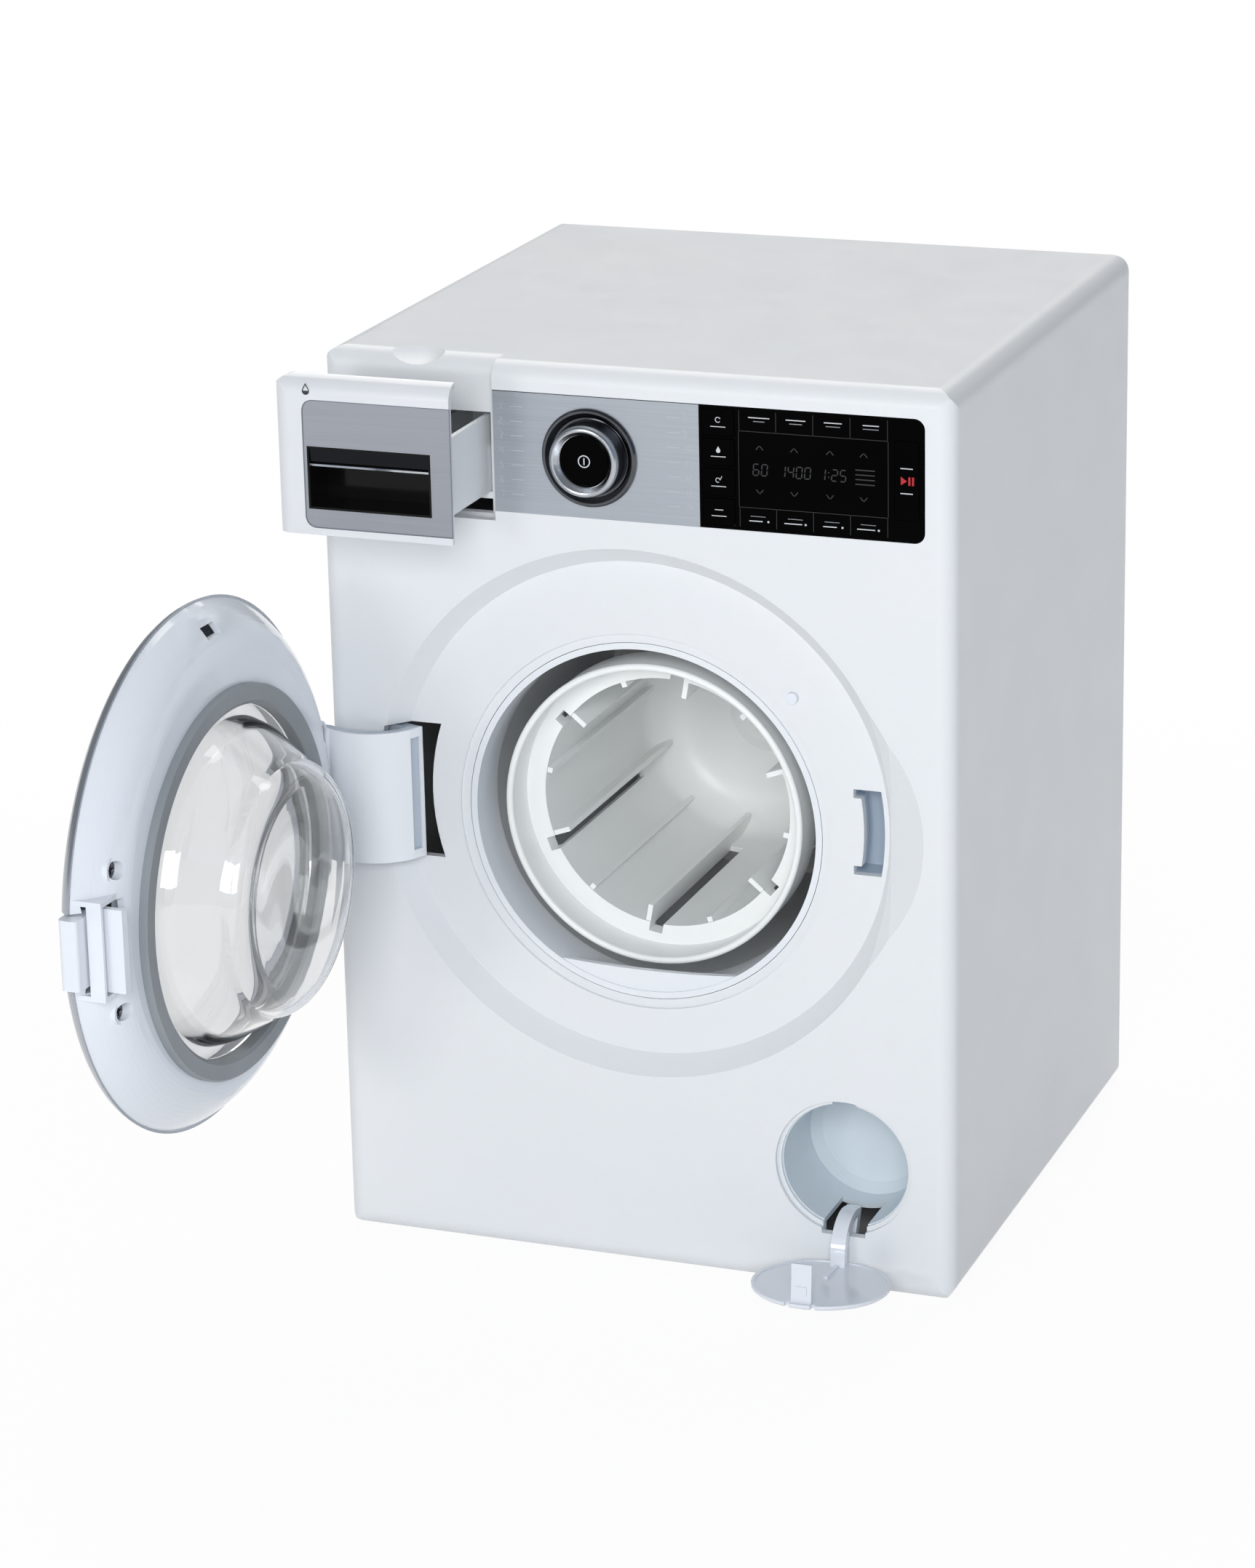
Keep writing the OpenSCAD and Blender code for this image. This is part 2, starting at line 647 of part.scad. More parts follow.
module drum_gear() color([0.85, 0.83, 0.75]) translate([0, 0, port_z]) difference() {
    union() {
        difference() {
            rotate([0, -90, 0]) gear(gear_r, gear_teeth, gear_module, gear_y, gear_y + gear_w);
            yturn(0, 0) translate([11, gear_y + 1.6]) square([gear_r - 16, gear_w]);
        }
        ycyl(0, 0, 6.5, gear_y - 1.4, gear_y + gear_w);
        for (a = [0:60:300]) rotate([0, a, 0])
            span([8, gear_y + 1, -0.8], [gear_r - 4, gear_y + gear_w - 0.6, 0.8]);
    }
    ycyl(0, 0, shaft_r + 0.02, gear_y - 3, gear_y + gear_w + over);
}

module motor_pinion() color([0.85, 0.83, 0.75]) translate([0, 0, motor_z]) difference() {
    rotate([0, -90 + 180 / pinion_teeth, 0])
        gear(pinion_r, pinion_teeth, gear_module, gear_y - 0.5, gear_y + gear_w + 0.5);
    ycyl(0, 0, motor_shaft_r + 0.02, gear_y - 2, gear_y + gear_w + 2);
}

module motor_shaft() color("silver")
    ycyl(0, motor_z, motor_shaft_r, gear_y - 1, bracket_y + bracket_t + 4.6);

module motor_bracket() color([0.4, 0.42, 0.45]) difference() {
    union() {
        yplate(bracket_y, bracket_y + bracket_t) soft_rect([-21, motor_z - 15], [21, motor_z + motor_r + 3],
            [3, 3, 6, 6]);
        yturn(0, motor_z) translate([motor_r + 0.1, bracket_y + bracket_t - 0.2]) square([1.4, 9]);
    }
    ycyl(0, motor_z, 3.2, bracket_y - over, bracket_y + bracket_t + over);
    at_motor_screws() ycyl(0, 0, screw_r + 0.3, bracket_y - over, bracket_y + bracket_t + over);
}

module motor() color([0.7, 0.71, 0.73]) {
    y0 = bracket_y + bracket_t;
    difference() {
        ycyl(0, motor_z, motor_r, y0, y0 + motor_len);
        ycyl(0, motor_z, motor_shaft_r + run_gap, y0 - over, y0 + 5);
    }
    difference() {
        ycyl(0, motor_z, 3.1, bracket_y - 1, y0 + over);
        ycyl(0, motor_z, motor_shaft_r + run_gap, bracket_y - 2, y0 + 5);
    }
    ycyl(0, motor_z, 3.5, y0 + motor_len - over, y0 + motor_len + 1.5);
    for (x = [-7, 7])
        span([x - 1, y0 + motor_len - over, motor_z - 1.5], [x + 1, y0 + motor_len + 2, motor_z + 1.5]);
    at_motor_screws() yscrew(0, 0, y0, 1, 10, 2.6, 1.6);
}

// ---------- battery box ----------

module battery_box() color([0.25, 0.26, 0.28]) difference() {
    span([-box_w / 2 - box_t, cover_in - box_deep - box_t, box_z - box_t],
        [box_w / 2 + box_t, cover_in, box_z + box_h + box_t]);
    span([-box_w / 2, cover_in - box_deep, box_z], [box_w / 2, cover_in + over, box_z + box_h]);
}

// Places of the cells along the box
function cell_x(i) = (i - (cells - 1) / 2) * (2 * cell_r + 1);

module batteries() color([0.3, 0.32, 0.36]) for (i = [0:cells - 1]) {
    up = i % 2 == 0;
    z0 = box_z + (up ? 4.6 : 2.4);
    translate([cell_x(i), cover_in - cell_r - 1, z0]) {
        cylinder(r = cell_r, h = cell_len - 1);
        translate([0, 0, up ? cell_len - 1.5 : -1]) cylinder(r = 2.6, h = 1.5);
    }
}

module battery_contacts() color("silver") for (i = [0:cells - 1]) {
    up = i % 2 == 0;
    x = cell_x(i);
    y = cover_in - cell_r - 1;
    for (top = [0, 1]) {
        z = top == 1 ? box_z + box_h - 0.6 : box_z;
        span([x - 5.5, y - 5, z], [x + 5.5, y + 5, z + 0.6]);
    }
    // Spring end: a plate stack that narrows towards the cell
    if (up) for (k = [0:3]) translate([x, y, box_z + 0.6 + k]) cylinder(r = 4.2 - k * 0.6, h = 1);
    if (!up) for (k = [0:3]) translate([x, y, box_z + box_h - 1.6 - k]) cylinder(r = 4.2 - k * 0.6, h = 1);
}

module battery_door() color([0.9, 0.91, 0.92]) difference() {
    union() {
        span([-box_w / 2 + slide_gap, cover_in + 0.2, box_z + slide_gap],
            [box_w / 2 - slide_gap, cover_in + cover_t, box_z + box_h - slide_gap]);
        for (s = [-1, 1]) span([s * box_w / 4 - 3, cover_in - 1, box_z + slide_gap],
            [s * box_w / 4 + 3, cover_in + cover_t, box_z + 2]);
        for (i = [-2:2]) span([-9, cover_in + cover_t - 0.5, box_z + 9 + i * 2.4],
            [9, cover_in + cover_t + 0.5, box_z + 10 + i * 2.4]);
    }
    ycyl(0, box_z + box_h - 5, screw_r + 0.3, cover_in - over, rear_y);
}

module battery_door_screw() color("silver")
    yscrew(0, box_z + box_h - 5, cover_in + cover_t, 1, 4.5, 2.6, 1.2);

module speaker() color([0.15, 0.15, 0.16]) yturn(0, speaker_z) polygon([
    [0, cover_in - 4], [7, cover_in - 4], [speaker_r - 4, cover_in - 1.4], [speaker_r - 1, cover_in - 1.4],
    [speaker_r - 1, cover_in], [speaker_r, cover_in], [speaker_r, cover_in - 4],
    [speaker_r - 9, cover_in - 8], [speaker_r - 11, cover_in - 12], [0, cover_in - 12]]);

// ---------- control panel ----------

module fascia_plate() color([0.68, 0.7, 0.72]) difference() {
    span([fascia_x0, fascia_face, fascia_z0], [plate_x1, fascia_floor, fascia_z1]);
    ycyl(dial_x, dial_z, bezel_r - 1.1, front_y - over, inner_front);
}

// Opening for a key with its clearance
module key_hole(x, z, w, h) yplate(front_y - 3, inner_front + 2)
    soft_rect([x - 0.15, z - 0.15], [x + w + 0.15, z + h + 0.15], [0.8, 0.8, 0.8, 0.8]);

function key_z(i) = fascia_z1 - 0.6 - key_pitch * i + (key_pitch - key_h) / 2;

module display_panel() color([0.03, 0.03, 0.035]) difference() {
    union() {
        yplate(fascia_face, fascia_floor)
            soft_rect([plate_x1, fascia_z0], [fascia_x1, fascia_z1], [0, 3, 3, 0]);
        span([plate_x1 + 0.8, fascia_floor - 0.1, fascia_z0 + 1.2],
            [fascia_x1 - 1.4, inner_front, fascia_z1 - 1.2]);
    }
    for (i = [1:keys]) key_hole(key_x0, key_z(i), key_w, key_h);
    key_hole(start_x0, start_z0, start_w, start_h);
    span([screen_x0, front_y - over, screen_z0], [screen_x1, fascia_face + 0.25, screen_z1]);
}

// One push key: a cap with a stem that reaches the switch behind it
module push_key(x, z, w, h) {
    yplate(fascia_face - 0.15, fascia_face + 1.6) soft_rect([x, z], [x + w, z + h], [0.7, 0.7, 0.7, 0.7]);
    ycyl(x + w / 2, z + h / 2, 1.2, fascia_face + 1, board_y - 3 - key_travel - 0.15);
}

module option_key(i) color([0.04, 0.04, 0.045]) if (i <= keys) push_key(key_x0, key_z(i), key_w, key_h);

module start_button() color([0.04, 0.04, 0.045]) push_key(start_x0, start_z0, start_w, start_h);

module circuit_board() color([0.1, 0.35, 0.2]) {
    difference() {
        span([fascia_x0 + 6, board_y, fascia_z0 + 1], [fascia_x1 - 1, board_y + board_t, fascia_z1 - 1]);
        for (x = [fascia_x0 + 9, fascia_x1 - 3.5], z = [fascia_z0 + 3.2, fascia_z1 - 3.2])
            ycyl(x, z, 1.1, board_y - over, board_y + board_t + over);
    }
    for (i = [1:keys]) ycyl(key_x0 + key_w / 2, key_z(i) + key_h / 2, 2.6, board_y - 3, board_y + over);
    ycyl(start_x0 + start_w / 2, start_z0 + start_h / 2, 2.6, board_y - 3, board_y + over);
    span([dial_x + 16, board_y + board_t - 0.2, dial_z - 5],
        [dial_x + 28, board_y + board_t + 2, dial_z + 5]);
}

module display_module() color([0.12, 0.14, 0.13])
    span([screen_x0 + 0.5, inner_front, screen_z0 - 0.5], [screen_x1 - 0.5, board_y, screen_z1 + 0.5]);

module dial_bezel() color([0.55, 0.56, 0.58]) yturn(dial_x, dial_z) polygon([
    [bezel_r - 0.4, fascia_face], [bezel_r, fascia_face - 0.5], [bezel_r - 0.5, fascia_face - 1.1],
    [bezel_r - 1.1, fascia_face - 1.1], [dial_r + 1.2, fascia_face + 0.1], [6 + run_gap, fascia_face + 0.1],
    [6 + run_gap, inner_front + 2.6], [8, inner_front + 2.6], [8, fascia_floor],
    [bezel_r - 1.2, fascia_floor], [bezel_r - 1.2, fascia_face]]);

module program_dial() color([0.62, 0.63, 0.65]) yturn(dial_x, dial_z) polygon([
    [dial_r + 0.7, dial_skirt], [dial_r + 0.1, dial_face + 1.4], [dial_r - 0.2, dial_face + 0.5],
    [dial_r - 0.6, dial_face + 0.1], [dial_r - 1, dial_face], [dial_r - 1.4, dial_face + 0.1],
    [dial_r - 2.4, dial_face + 1.5], [dial_r - 2.7, dial_face + 1.8], [dial_r - 2.7, dial_floor],
    [3.1, dial_floor], [3.1, inner_front + 3.2], [6, inner_front + 3.2], [6, dial_skirt - 0.2],
    [dial_r - 1.2, dial_skirt - 0.2], [dial_r - 1.2, dial_skirt]]);

module power_button() color([0.03, 0.03, 0.035]) {
    under = dial_floor - power_travel - 0.15;
    y_stem = board_y - 3 - power_travel - 0.15;
    yturn(dial_x, dial_z) polygon([[0, dial_face + 1.6], [dial_r - 3.2, dial_face + 1.6],
        [dial_r - 2.75, dial_face + 2], [dial_r - 2.75, under], [3, under], [3, y_stem], [0, y_stem]]);
}

module dial_encoder() color([0.2, 0.3, 0.55]) difference() {
    span([dial_x - 7, inner_front + 3.5, dial_z - 7], [dial_x + 7, board_y, dial_z + 7]);
    ycyl(dial_x, dial_z, 3.4, inner_front, board_y - 3);
}

// ---------- hinge, latch, switch and guides in the cabinet ----------

module hinge_bracket() color([0.86, 0.87, 0.88]) {
    ear_t = 3;
    gap = arm_h / 2 + 0.9;
    difference() {
        union() {
            span([-half_w + wall, inner_front + 0.5, door_z - gap - ear_t - 2],
                [hinge_x - 6, hinge_y + 12, door_z + gap + ear_t + 2]);
            for (z = [door_z - gap - ear_t, door_z + gap]) zplate(z, z + ear_t) {
                translate([hinge_x, hinge_y]) circle(4);
                translate([hinge_x - 7, hinge_y - 4]) square([7, 8]);
            }
        }
        translate([hinge_x, hinge_y, door_z - 40]) cylinder(r = pin_r + run_gap, h = 80);
    }
}

module hinge_pin() color("silver") translate([hinge_x, hinge_y, door_z - arm_h / 2 - 5.4]) {
    cylinder(r = pin_r, h = arm_h + 9.5);
    cylinder(r = pin_r + 1, h = 1.2);
}

module latch_keeper() color([0.78, 0.84, 0.88]) difference() {
    half = pocket_h / 2;
    span([keeper_x, dish_back, door_z - half - 1.6], [keeper_x + 12.4, dish_back + 8.6, door_z + half + 1.6]);
    yplate(dish_back - over, dish_back + 7.4) latch_outline();
    span([keeper_x + 1.8, dish_back + 2, door_z - half], [keeper_x + 10.8, dish_back + 7.4, door_z + half]);
}

module door_switch_pin() color([0.9, 0.92, 0.94]) {
    ycyl(switch_x, switch_z, switch_r, dish_floor - switch_proud, dish_back + 4);
    ycyl(switch_x, switch_z, 2.2, dish_back + 0.2, dish_back + 1.4);
}

module door_switch() color([0.2, 0.2, 0.22]) difference() {
    span([switch_x - 3, dish_back, switch_z - 3], [switch_x + 6, dish_back + 9, switch_z + 6]);
    ycyl(switch_x, switch_z, 2.5, dish_back - over, dish_back + 3.8);
    ycyl(switch_x, switch_z, switch_r + 0.2, dish_back, dish_back + 7);
}

module drawer_guide() color([0.84, 0.86, 0.88]) {
    z_top = tray_z0 - slide_gap;
    x0 = tray_x0 - slide_gap;
    x1 = tray_x1 + slide_gap;
    y1 = tray_y1 + 2.4;
    span([x0 - 1.6, bay_back, z_top - 2], [x1 + 1.6, y1, z_top]);
    for (x = [x0 - 1.6, x1]) span([x, bay_back, z_top - 1], [x + 1.6, y1, z_top + 13]);
    span([x0 - 1.6, y1 - 1.6, z_top - 1], [x1 + 1.6, y1, z_top + 13]);
}

module filter_cup() color([0.72, 0.78, 0.82]) difference() {
    y_end = front_y + cup_deep;
    shell_r = cup_r + 1.4;
    half_gap = hinge_gap_w / 2;
    yturn(flap_x, flap_z) difference() {
        polygon([[0, inner_front], [cup_flange_r, inner_front], [cup_flange_r, inner_front + 1.8],
            [shell_r, inner_front + 1.8], [shell_r, y_end - 3], [cup_r - 2, y_end + 1.4], [0, y_end + 1.4]]);
        polygon([[0, front_y], [cup_r, front_y], [cup_r, y_end - 3], [cup_r - 2.6, y_end], [0, y_end]]);
    }
    span([flap_x - half_gap, front_y, flap_z - cup_flange_r - over],
        [flap_x + half_gap, flap_pin_y + neck_r + 5.2, flap_z - 13.5]);
    span([flap_x - tab_w / 2 - 0.8, front_y, flap_z + 12],
        [flap_x + tab_w / 2 + 0.8, inner_front + 4, flap_z + cup_r + 0.9]);
}

module flap_bracket() color([0.86, 0.87, 0.88]) difference() {
    union() {
        span([flap_x - 9, inner_front, wall], [flap_x + 9, flap_pin_y + 5, wall + 1.6]);
        for (s = [-1, 1]) intersection() {
            span([flap_x + s * 4.2 - 1.3, inner_front, wall],
                [flap_x + s * 4.2 + 1.3, flap_pin_y + 3.4, flap_pin_z + 3]);
            rotate([90, 0, 90]) linear_extrude(cab_w) union() {
                translate([flap_pin_y, flap_pin_z]) circle(2.3);
                translate([inner_front, wall]) square([flap_pin_y + 3 - inner_front, flap_pin_z - wall]);
            }
        }
    }
    xcyl(flap_x - 10, flap_x + 10, flap_pin_y, flap_pin_z, flap_pin_r + run_gap);
}

module flap_pin() color("silver") xcyl(flap_x - 5.5, flap_x + 5.5, flap_pin_y, flap_pin_z, flap_pin_r);

// Flap with its swan neck, its knuckle and its snap tab
module service_flap() color([0.88, 0.9, 0.92]) on_flap() {
    y_in = flap_y + flap_t;
    difference() {
        union() {
            yturn(flap_x, flap_z) polygon([[0, flap_y], [flap_r - 0.5, flap_y], [flap_r, flap_y + 0.5],
                [flap_r, y_in], [flap_r - 1, y_in], [flap_r - 1, y_in - 0.3], [0, y_in - 0.3]]);
            // Swan neck: a band round the pin
            translate([flap_x - neck_w / 2, flap_pin_y, flap_pin_z]) rotate([90, 0, 90])
                linear_extrude(neck_w) union() {
                    intersection() {
                        difference() {
                            circle(neck_r + neck_t / 2);
                            circle(neck_r - neck_t / 2);
                        }
                        polygon([[0, 0], [20, -7.3], [20, 20], [-1.6, 20]]);
                    }
                    polygon([[0, -1.5], [neck_r + 0.9, -4.6], [neck_r + 1, -1.8], [0, 1.5]]);
                    circle(2);
                }
            // Foot of the neck on the flap
            span([flap_x - neck_w / 2, y_in - 0.6, flap_pin_z + neck_r - neck_t / 2 + 0.1],
                [flap_x + neck_w / 2, flap_pin_y, flap_pin_z + neck_r + neck_t / 2 - 0.05]);
            // Ridge that runs from the foot to the middle
            span([flap_x - 0.6, y_in - 0.6, flap_pin_z + neck_r], [flap_x + 0.6, y_in + 0.5, flap_z - 4]);
            // Snap tab with its bump
            span([flap_x - tab_w / 2, y_in - 0.6, flap_z + 16.4],
                [flap_x + tab_w / 2, y_in + 11, flap_z + 17.4]);
            span([flap_x - 1.6, y_in + 2.4, flap_z + 17.3], [flap_x + 1.6, y_in + 4.6, flap_z + 17.9]);
        }
        span([flap_x - 8, flap_y - over, flap_z - flap_r - over], [flap_x + 8, y_in + 0.1, flap_z - 18.6]);
        for (x = [flap_x - tab_w / 2 - 1.5, flap_x + tab_w / 2 + 0.1])
            span([x, flap_y - over, flap_z + 17], [x + 1.4, y_in + over, flap_z + flap_r + over]);
        xcyl(flap_x - 5, flap_x + 5, flap_pin_y, flap_pin_z, flap_pin_r + run_gap);
    }
}

// ---------- drawer ----------

// Box of the finger pocket grown by its wall, from y0 to y1
module pocket_box(y0, y1) span([pocket_x0 - pocket_t, y0, pocket_z0 - pocket_t],
    [pocket_x1 + pocket_t, y1, pocket_z1 + pocket_t]);

module drawer_front() color([0.93, 0.94, 0.95]) on_drawer() difference() {
    intersection() {
        span([cap_x0, front_y - over, cap_z0], [cap_x1, cap_back, cab_h + over]);
        rounded_block(0, front_y);
    }
    intersection() {
        span([cap_x0 + cap_t, tray_y0, cap_z0 - over], [cap_x1 + over, bay_back, cab_h]);
        rounded_block(cap_t, tray_y0);
    }
    yplate(front_y - over, front_y + 0.8)
        soft_rect([cap_x0 + 8, cap_z0 + 2.1], [cap_x1 + over, cap_z0 + 37.3], [2.5, 0, 0, 2.5]);
    pocket_box(front_y - over, bay_back);
}

module drawer_plate() color([0.66, 0.68, 0.71]) on_drawer() difference() {
    yplate(front_y + 0.1, front_y + 0.8)
        soft_rect([cap_x0 + 8.1, cap_z0 + 2.2], [cap_x1, cap_z0 + 37.2], [2.4, 0, 0, 2.4]);
    pocket_box(front_y - over, bay_back);
}

module drawer_handle() color([0.03, 0.03, 0.035]) on_drawer() difference() {
    pocket_box(front_y + 0.1, front_y + pocket_deep + pocket_t);
    span([pocket_x0, front_y - over, pocket_z0], [pocket_x1, front_y + pocket_deep, pocket_z1]);
}

module handle_bar() color([0.35, 0.36, 0.38]) on_drawer() {
    z0 = pocket_z1 - bar_h;
    translate([pocket_x0, 0, 0]) rotate([90, 0, 90]) linear_extrude(pocket_x1 - pocket_x0)
        polygon([[front_y + 0.1, z0 + 0.7], [front_y + 0.5, z0], [front_y + 2.6, z0 + 0.4],
            [front_y + 2.2, z0 + 1.6], [front_y + 2.2, pocket_z1], [front_y + 0.4, pocket_z1],
            [front_y + 0.7, z0 + 1.2]]);
}

module drawer_tray() color([0.92, 0.93, 0.94]) on_drawer() {
    t = tray_wall;
    mid = (tray_x0 + tray_x1) / 2;
    cross = front_y + pocket_deep + pocket_t + 0.2;
    difference() {
        span([tray_x0, tray_y0, tray_z0], [tray_x1, tray_y1, tray_z1]);
        span([tray_x0 + t, tray_y0 - over, tray_z0 + t], [tray_x1 - t, tray_y1 - t, tray_z1 + over]);
        // The rear corners slope down
        for (x = [tray_x0 - over, tray_x1 - t - over]) translate([x, 0, 0]) rotate([90, 0, 90])
            linear_extrude(t + 2) polygon([[tray_y1 - 9, tray_z1 + over], [tray_y1 + over, tray_z1 - 6],
                [tray_y1 + over, tray_z1 + over]]);
        span([tray_x0 + t, tray_y1 - t - over, tray_z1 - 6], [tray_x1 - t, tray_y1 + over, tray_z1 + over]);
    }
    span([tray_x0 + t / 2, cross, tray_z0 + t / 2], [tray_x1 - t / 2, cross + t, tray_z1 - 0.4]);
    span([mid - t / 2, cross + t / 2, tray_z0 + t / 2], [mid + t / 2, tray_y1 - t / 2, tray_z1 - 7]);
}

// ---------- door ----------

// Point at s along a curve from a to c that bends towards b
function bend(a, b, c, s) = (1 - s) * (1 - s) * a + 2 * s * (1 - s) * b + s * s * c;
function curve(a, b, c, n) = [for (i = [0:n]) bend(a, b, c, i / n)];
function flip(list) = [for (i = [len(list) - 1:-1:0]) list[i]];

// Box of the notch for the latch lever at the door's free edge
module latch_notch(y0) {
    half = latch_h / 2 + 0.4;
    span([latch_x + 2.9, y0, door_z - half], [door_r + 5, dish_floor, door_z + half]);
}

module door_ring() color([0.72, 0.73, 0.75]) on_door() difference() {
    union() {
        yturn(0, door_z) polygon(concat(
            curve([door_r, rim_y], [door_r - 1.2, rim_y - 4.6], [door_r - 9, rim_y - 4.8], 8),
            curve([door_r - 9, rim_y - 4.8], [glass_r - 0.5, rim_y - 5], [ring_hole_r + 0.3, rim_y - 2.6], 6),
            [[ring_hole_r, rim_y - 2], [ring_hole_r, rim_y - 0.6], [glass_r - 1.5, rim_y - 0.6]],
            flip(curve([door_r - 9, rim_y - 3.2], [glass_r + 0.9, rim_y - 3.4],
                [glass_r - 0.5, rim_y - 1.6], 5)),
            flip(curve([door_r - 1.8, rim_y], [door_r - 2.8, rim_y - 3], [door_r - 8.8, rim_y - 3.2], 6))));
        // Screw bosses, shorter where the root of the arm lies between
        for (s = [-1, 1]) {
            ycyl(screw_x, door_z + s * screw_z, 3, rim_y - 3.8, rim_y + 0.6);
            ycyl(-screw_x, door_z + s * screw_z, 3, rim_y - 3.8, rim_y - 1);
        }
    }
    latch_notch(rim_y - 6);
    at_door_screws() ycyl(0, 0, screw_r + run_gap, rim_y - 3, rim_y + over);
}

// Profile of the white inner moulding: a domed skin with a rim
module shell_profile() {
    rim = door_r - 0.8;
    flat_r = door_r - 15;
    polygon(concat(
        curve([rim, rim_y], [door_r - 6.6, plateau_y - 0.7], [flat_r, plateau_y], 12),
        [[tube_r - 5.5, plateau_y], [tube_r - 5.5, plateau_y - 1.8]],
        flip(curve([rim - 1.7, rim_y], [door_r - 7.8, plateau_y - 2.6], [flat_r, plateau_y - 1.8], 12))));
}

// Frame round the latch: a bar above and below the hook and a wall between hook and grip
module latch_frame() {
    half = hook_h / 2 + 0.8;
    x_out = latch_x + 8.3;
    y_top = rim_y + 8.6;
    for (z = [door_z - half - 1.4, door_z + half])
        span([latch_x - 3.4, rim_y + 0.4, z], [x_out, y_top, z + 1.4]);
    span([x_out - 1, rim_y + 4.3, door_z - half - 0.4], [x_out, y_top, door_z + half + 0.4]);
}

// Bore for the latch's pin
module latch_bore() translate([latch_x, latch_y, door_z - 14]) cylinder(r = latch_pin_r, h = 28);

module door_shell() color([0.94, 0.95, 0.97]) on_door() {
    hook_half = hook_h / 2 + 0.6;
    difference() {
        union() {
            difference() {
                yturn(0, door_z) shell_profile();
                ycyl(0, port_z, tube_r, rim_y, dish_floor);
            }
            // Tube that carries the gasket, the bowl and the window
            difference() {
                ycyl(0, port_z, tube_r + 1.8, rim_y + 1, plateau_y);
                ycyl(0, port_z, tube_r, rim_y, dish_floor);
            }
            at_door_screws() ycyl(0, 0, 3.5, rim_y + 0.6, plateau_y - 2.6);
        }
        latch_notch(rim_y - 6);
        span([latch_x - 2.4, rim_y - 1, door_z - hook_half], [latch_x + 7.4, dish_floor, door_z + hook_half]);
        at_door_screws() {
            ycyl(0, 0, 2.5, rim_y + 5, dish_floor);
            ycyl(0, 0, screw_r + run_gap, rim_y, dish_floor);
        }
        // Snap window near the top
        span([-3.7, rim_y + 2, door_z + 64.6], [3.7, dish_floor, door_z + 67.8]);
        // Way through for the hinge arm
        span([-door_r - 2, rim_y - 1, arm_z0 - 0.3], [-64.6, dish_floor, arm_z0 + arm_h + 0.3]);
        latch_bore();
    }
    difference() {
        latch_frame();
        latch_bore();
    }
}

module door_gasket() color([0.55, 0.58, 0.6]) on_door() yturn(0, port_z) polygon([
    [gasket_r, plateau_y], [gasket_r, gasket_face - 0.5], [gasket_r - 0.5, gasket_face],
    [gasket_hole_r + 1, gasket_face], [gasket_hole_r, gasket_face - 0.8], [gasket_hole_r, plateau_y - 4],
    [tube_r - 0.05, plateau_y - 4], [tube_r - 0.05, plateau_y]]);

// Half section of the bowl's outside (t = 0) or inside (t = wall)
module bowl_section(t) {
    y0 = gasket_face;
    y1 = y0 + bowl_deep - 3.4;
    y2 = y0 + bowl_deep;
    end_r = bowl_end_r - t / 2;
    polygon(concat([[0, y0 - 6], [bowl_r + 1.4 - t, y0 - 6], [bowl_r - t, y0]],
        curve([bowl_end_r + 1.2 - t, y1 - 2.4], [bowl_end_r - t - 0.4, y2 - t - 0.4],
            [end_r - 5.5, y2 - t], 6),
        curve([end_r - 7, y2 - t], [bowl_end_r / 2, y2 - t - 0.1], [0, y2 - t - 1.4], 5)));
}

module door_bowl() color([0.8, 0.84, 0.86, 0.35]) on_door() yturn(0, port_z) difference() {
    flange_r = gasket_hole_r - 0.1;
    union() {
        bowl_section(0);
        polygon([[0, gasket_face - 6], [flange_r, gasket_face - 6], [flange_r, gasket_face - 4.2],
            [0, gasket_face - 4.2]]);
    }
    bowl_section(bowl_wall);
    translate([-over, gasket_face - 8]) square([bowl_r + 1.4 - bowl_wall + over, 2.1]);
}

module door_window() color([0.75, 0.78, 0.8, 0.35]) on_door() yturn(0, door_z)
    polygon(concat(
        [[0, rim_y + 1], [glass_r, rim_y + 1], [glass_r, rim_y - 0.6], [ring_hole_r - 0.2, rim_y - 0.6]],
        curve([ring_hole_r - 0.2, rim_y - 0.9], [glass_r / 2, rim_y - 2.4], [0, rim_y - 2.6], 6)));

module door_screws() color("silver") on_door() at_door_screws() yscrew(0, 0, rim_y + 5, 1, 7.4, 2.3, 1.5);

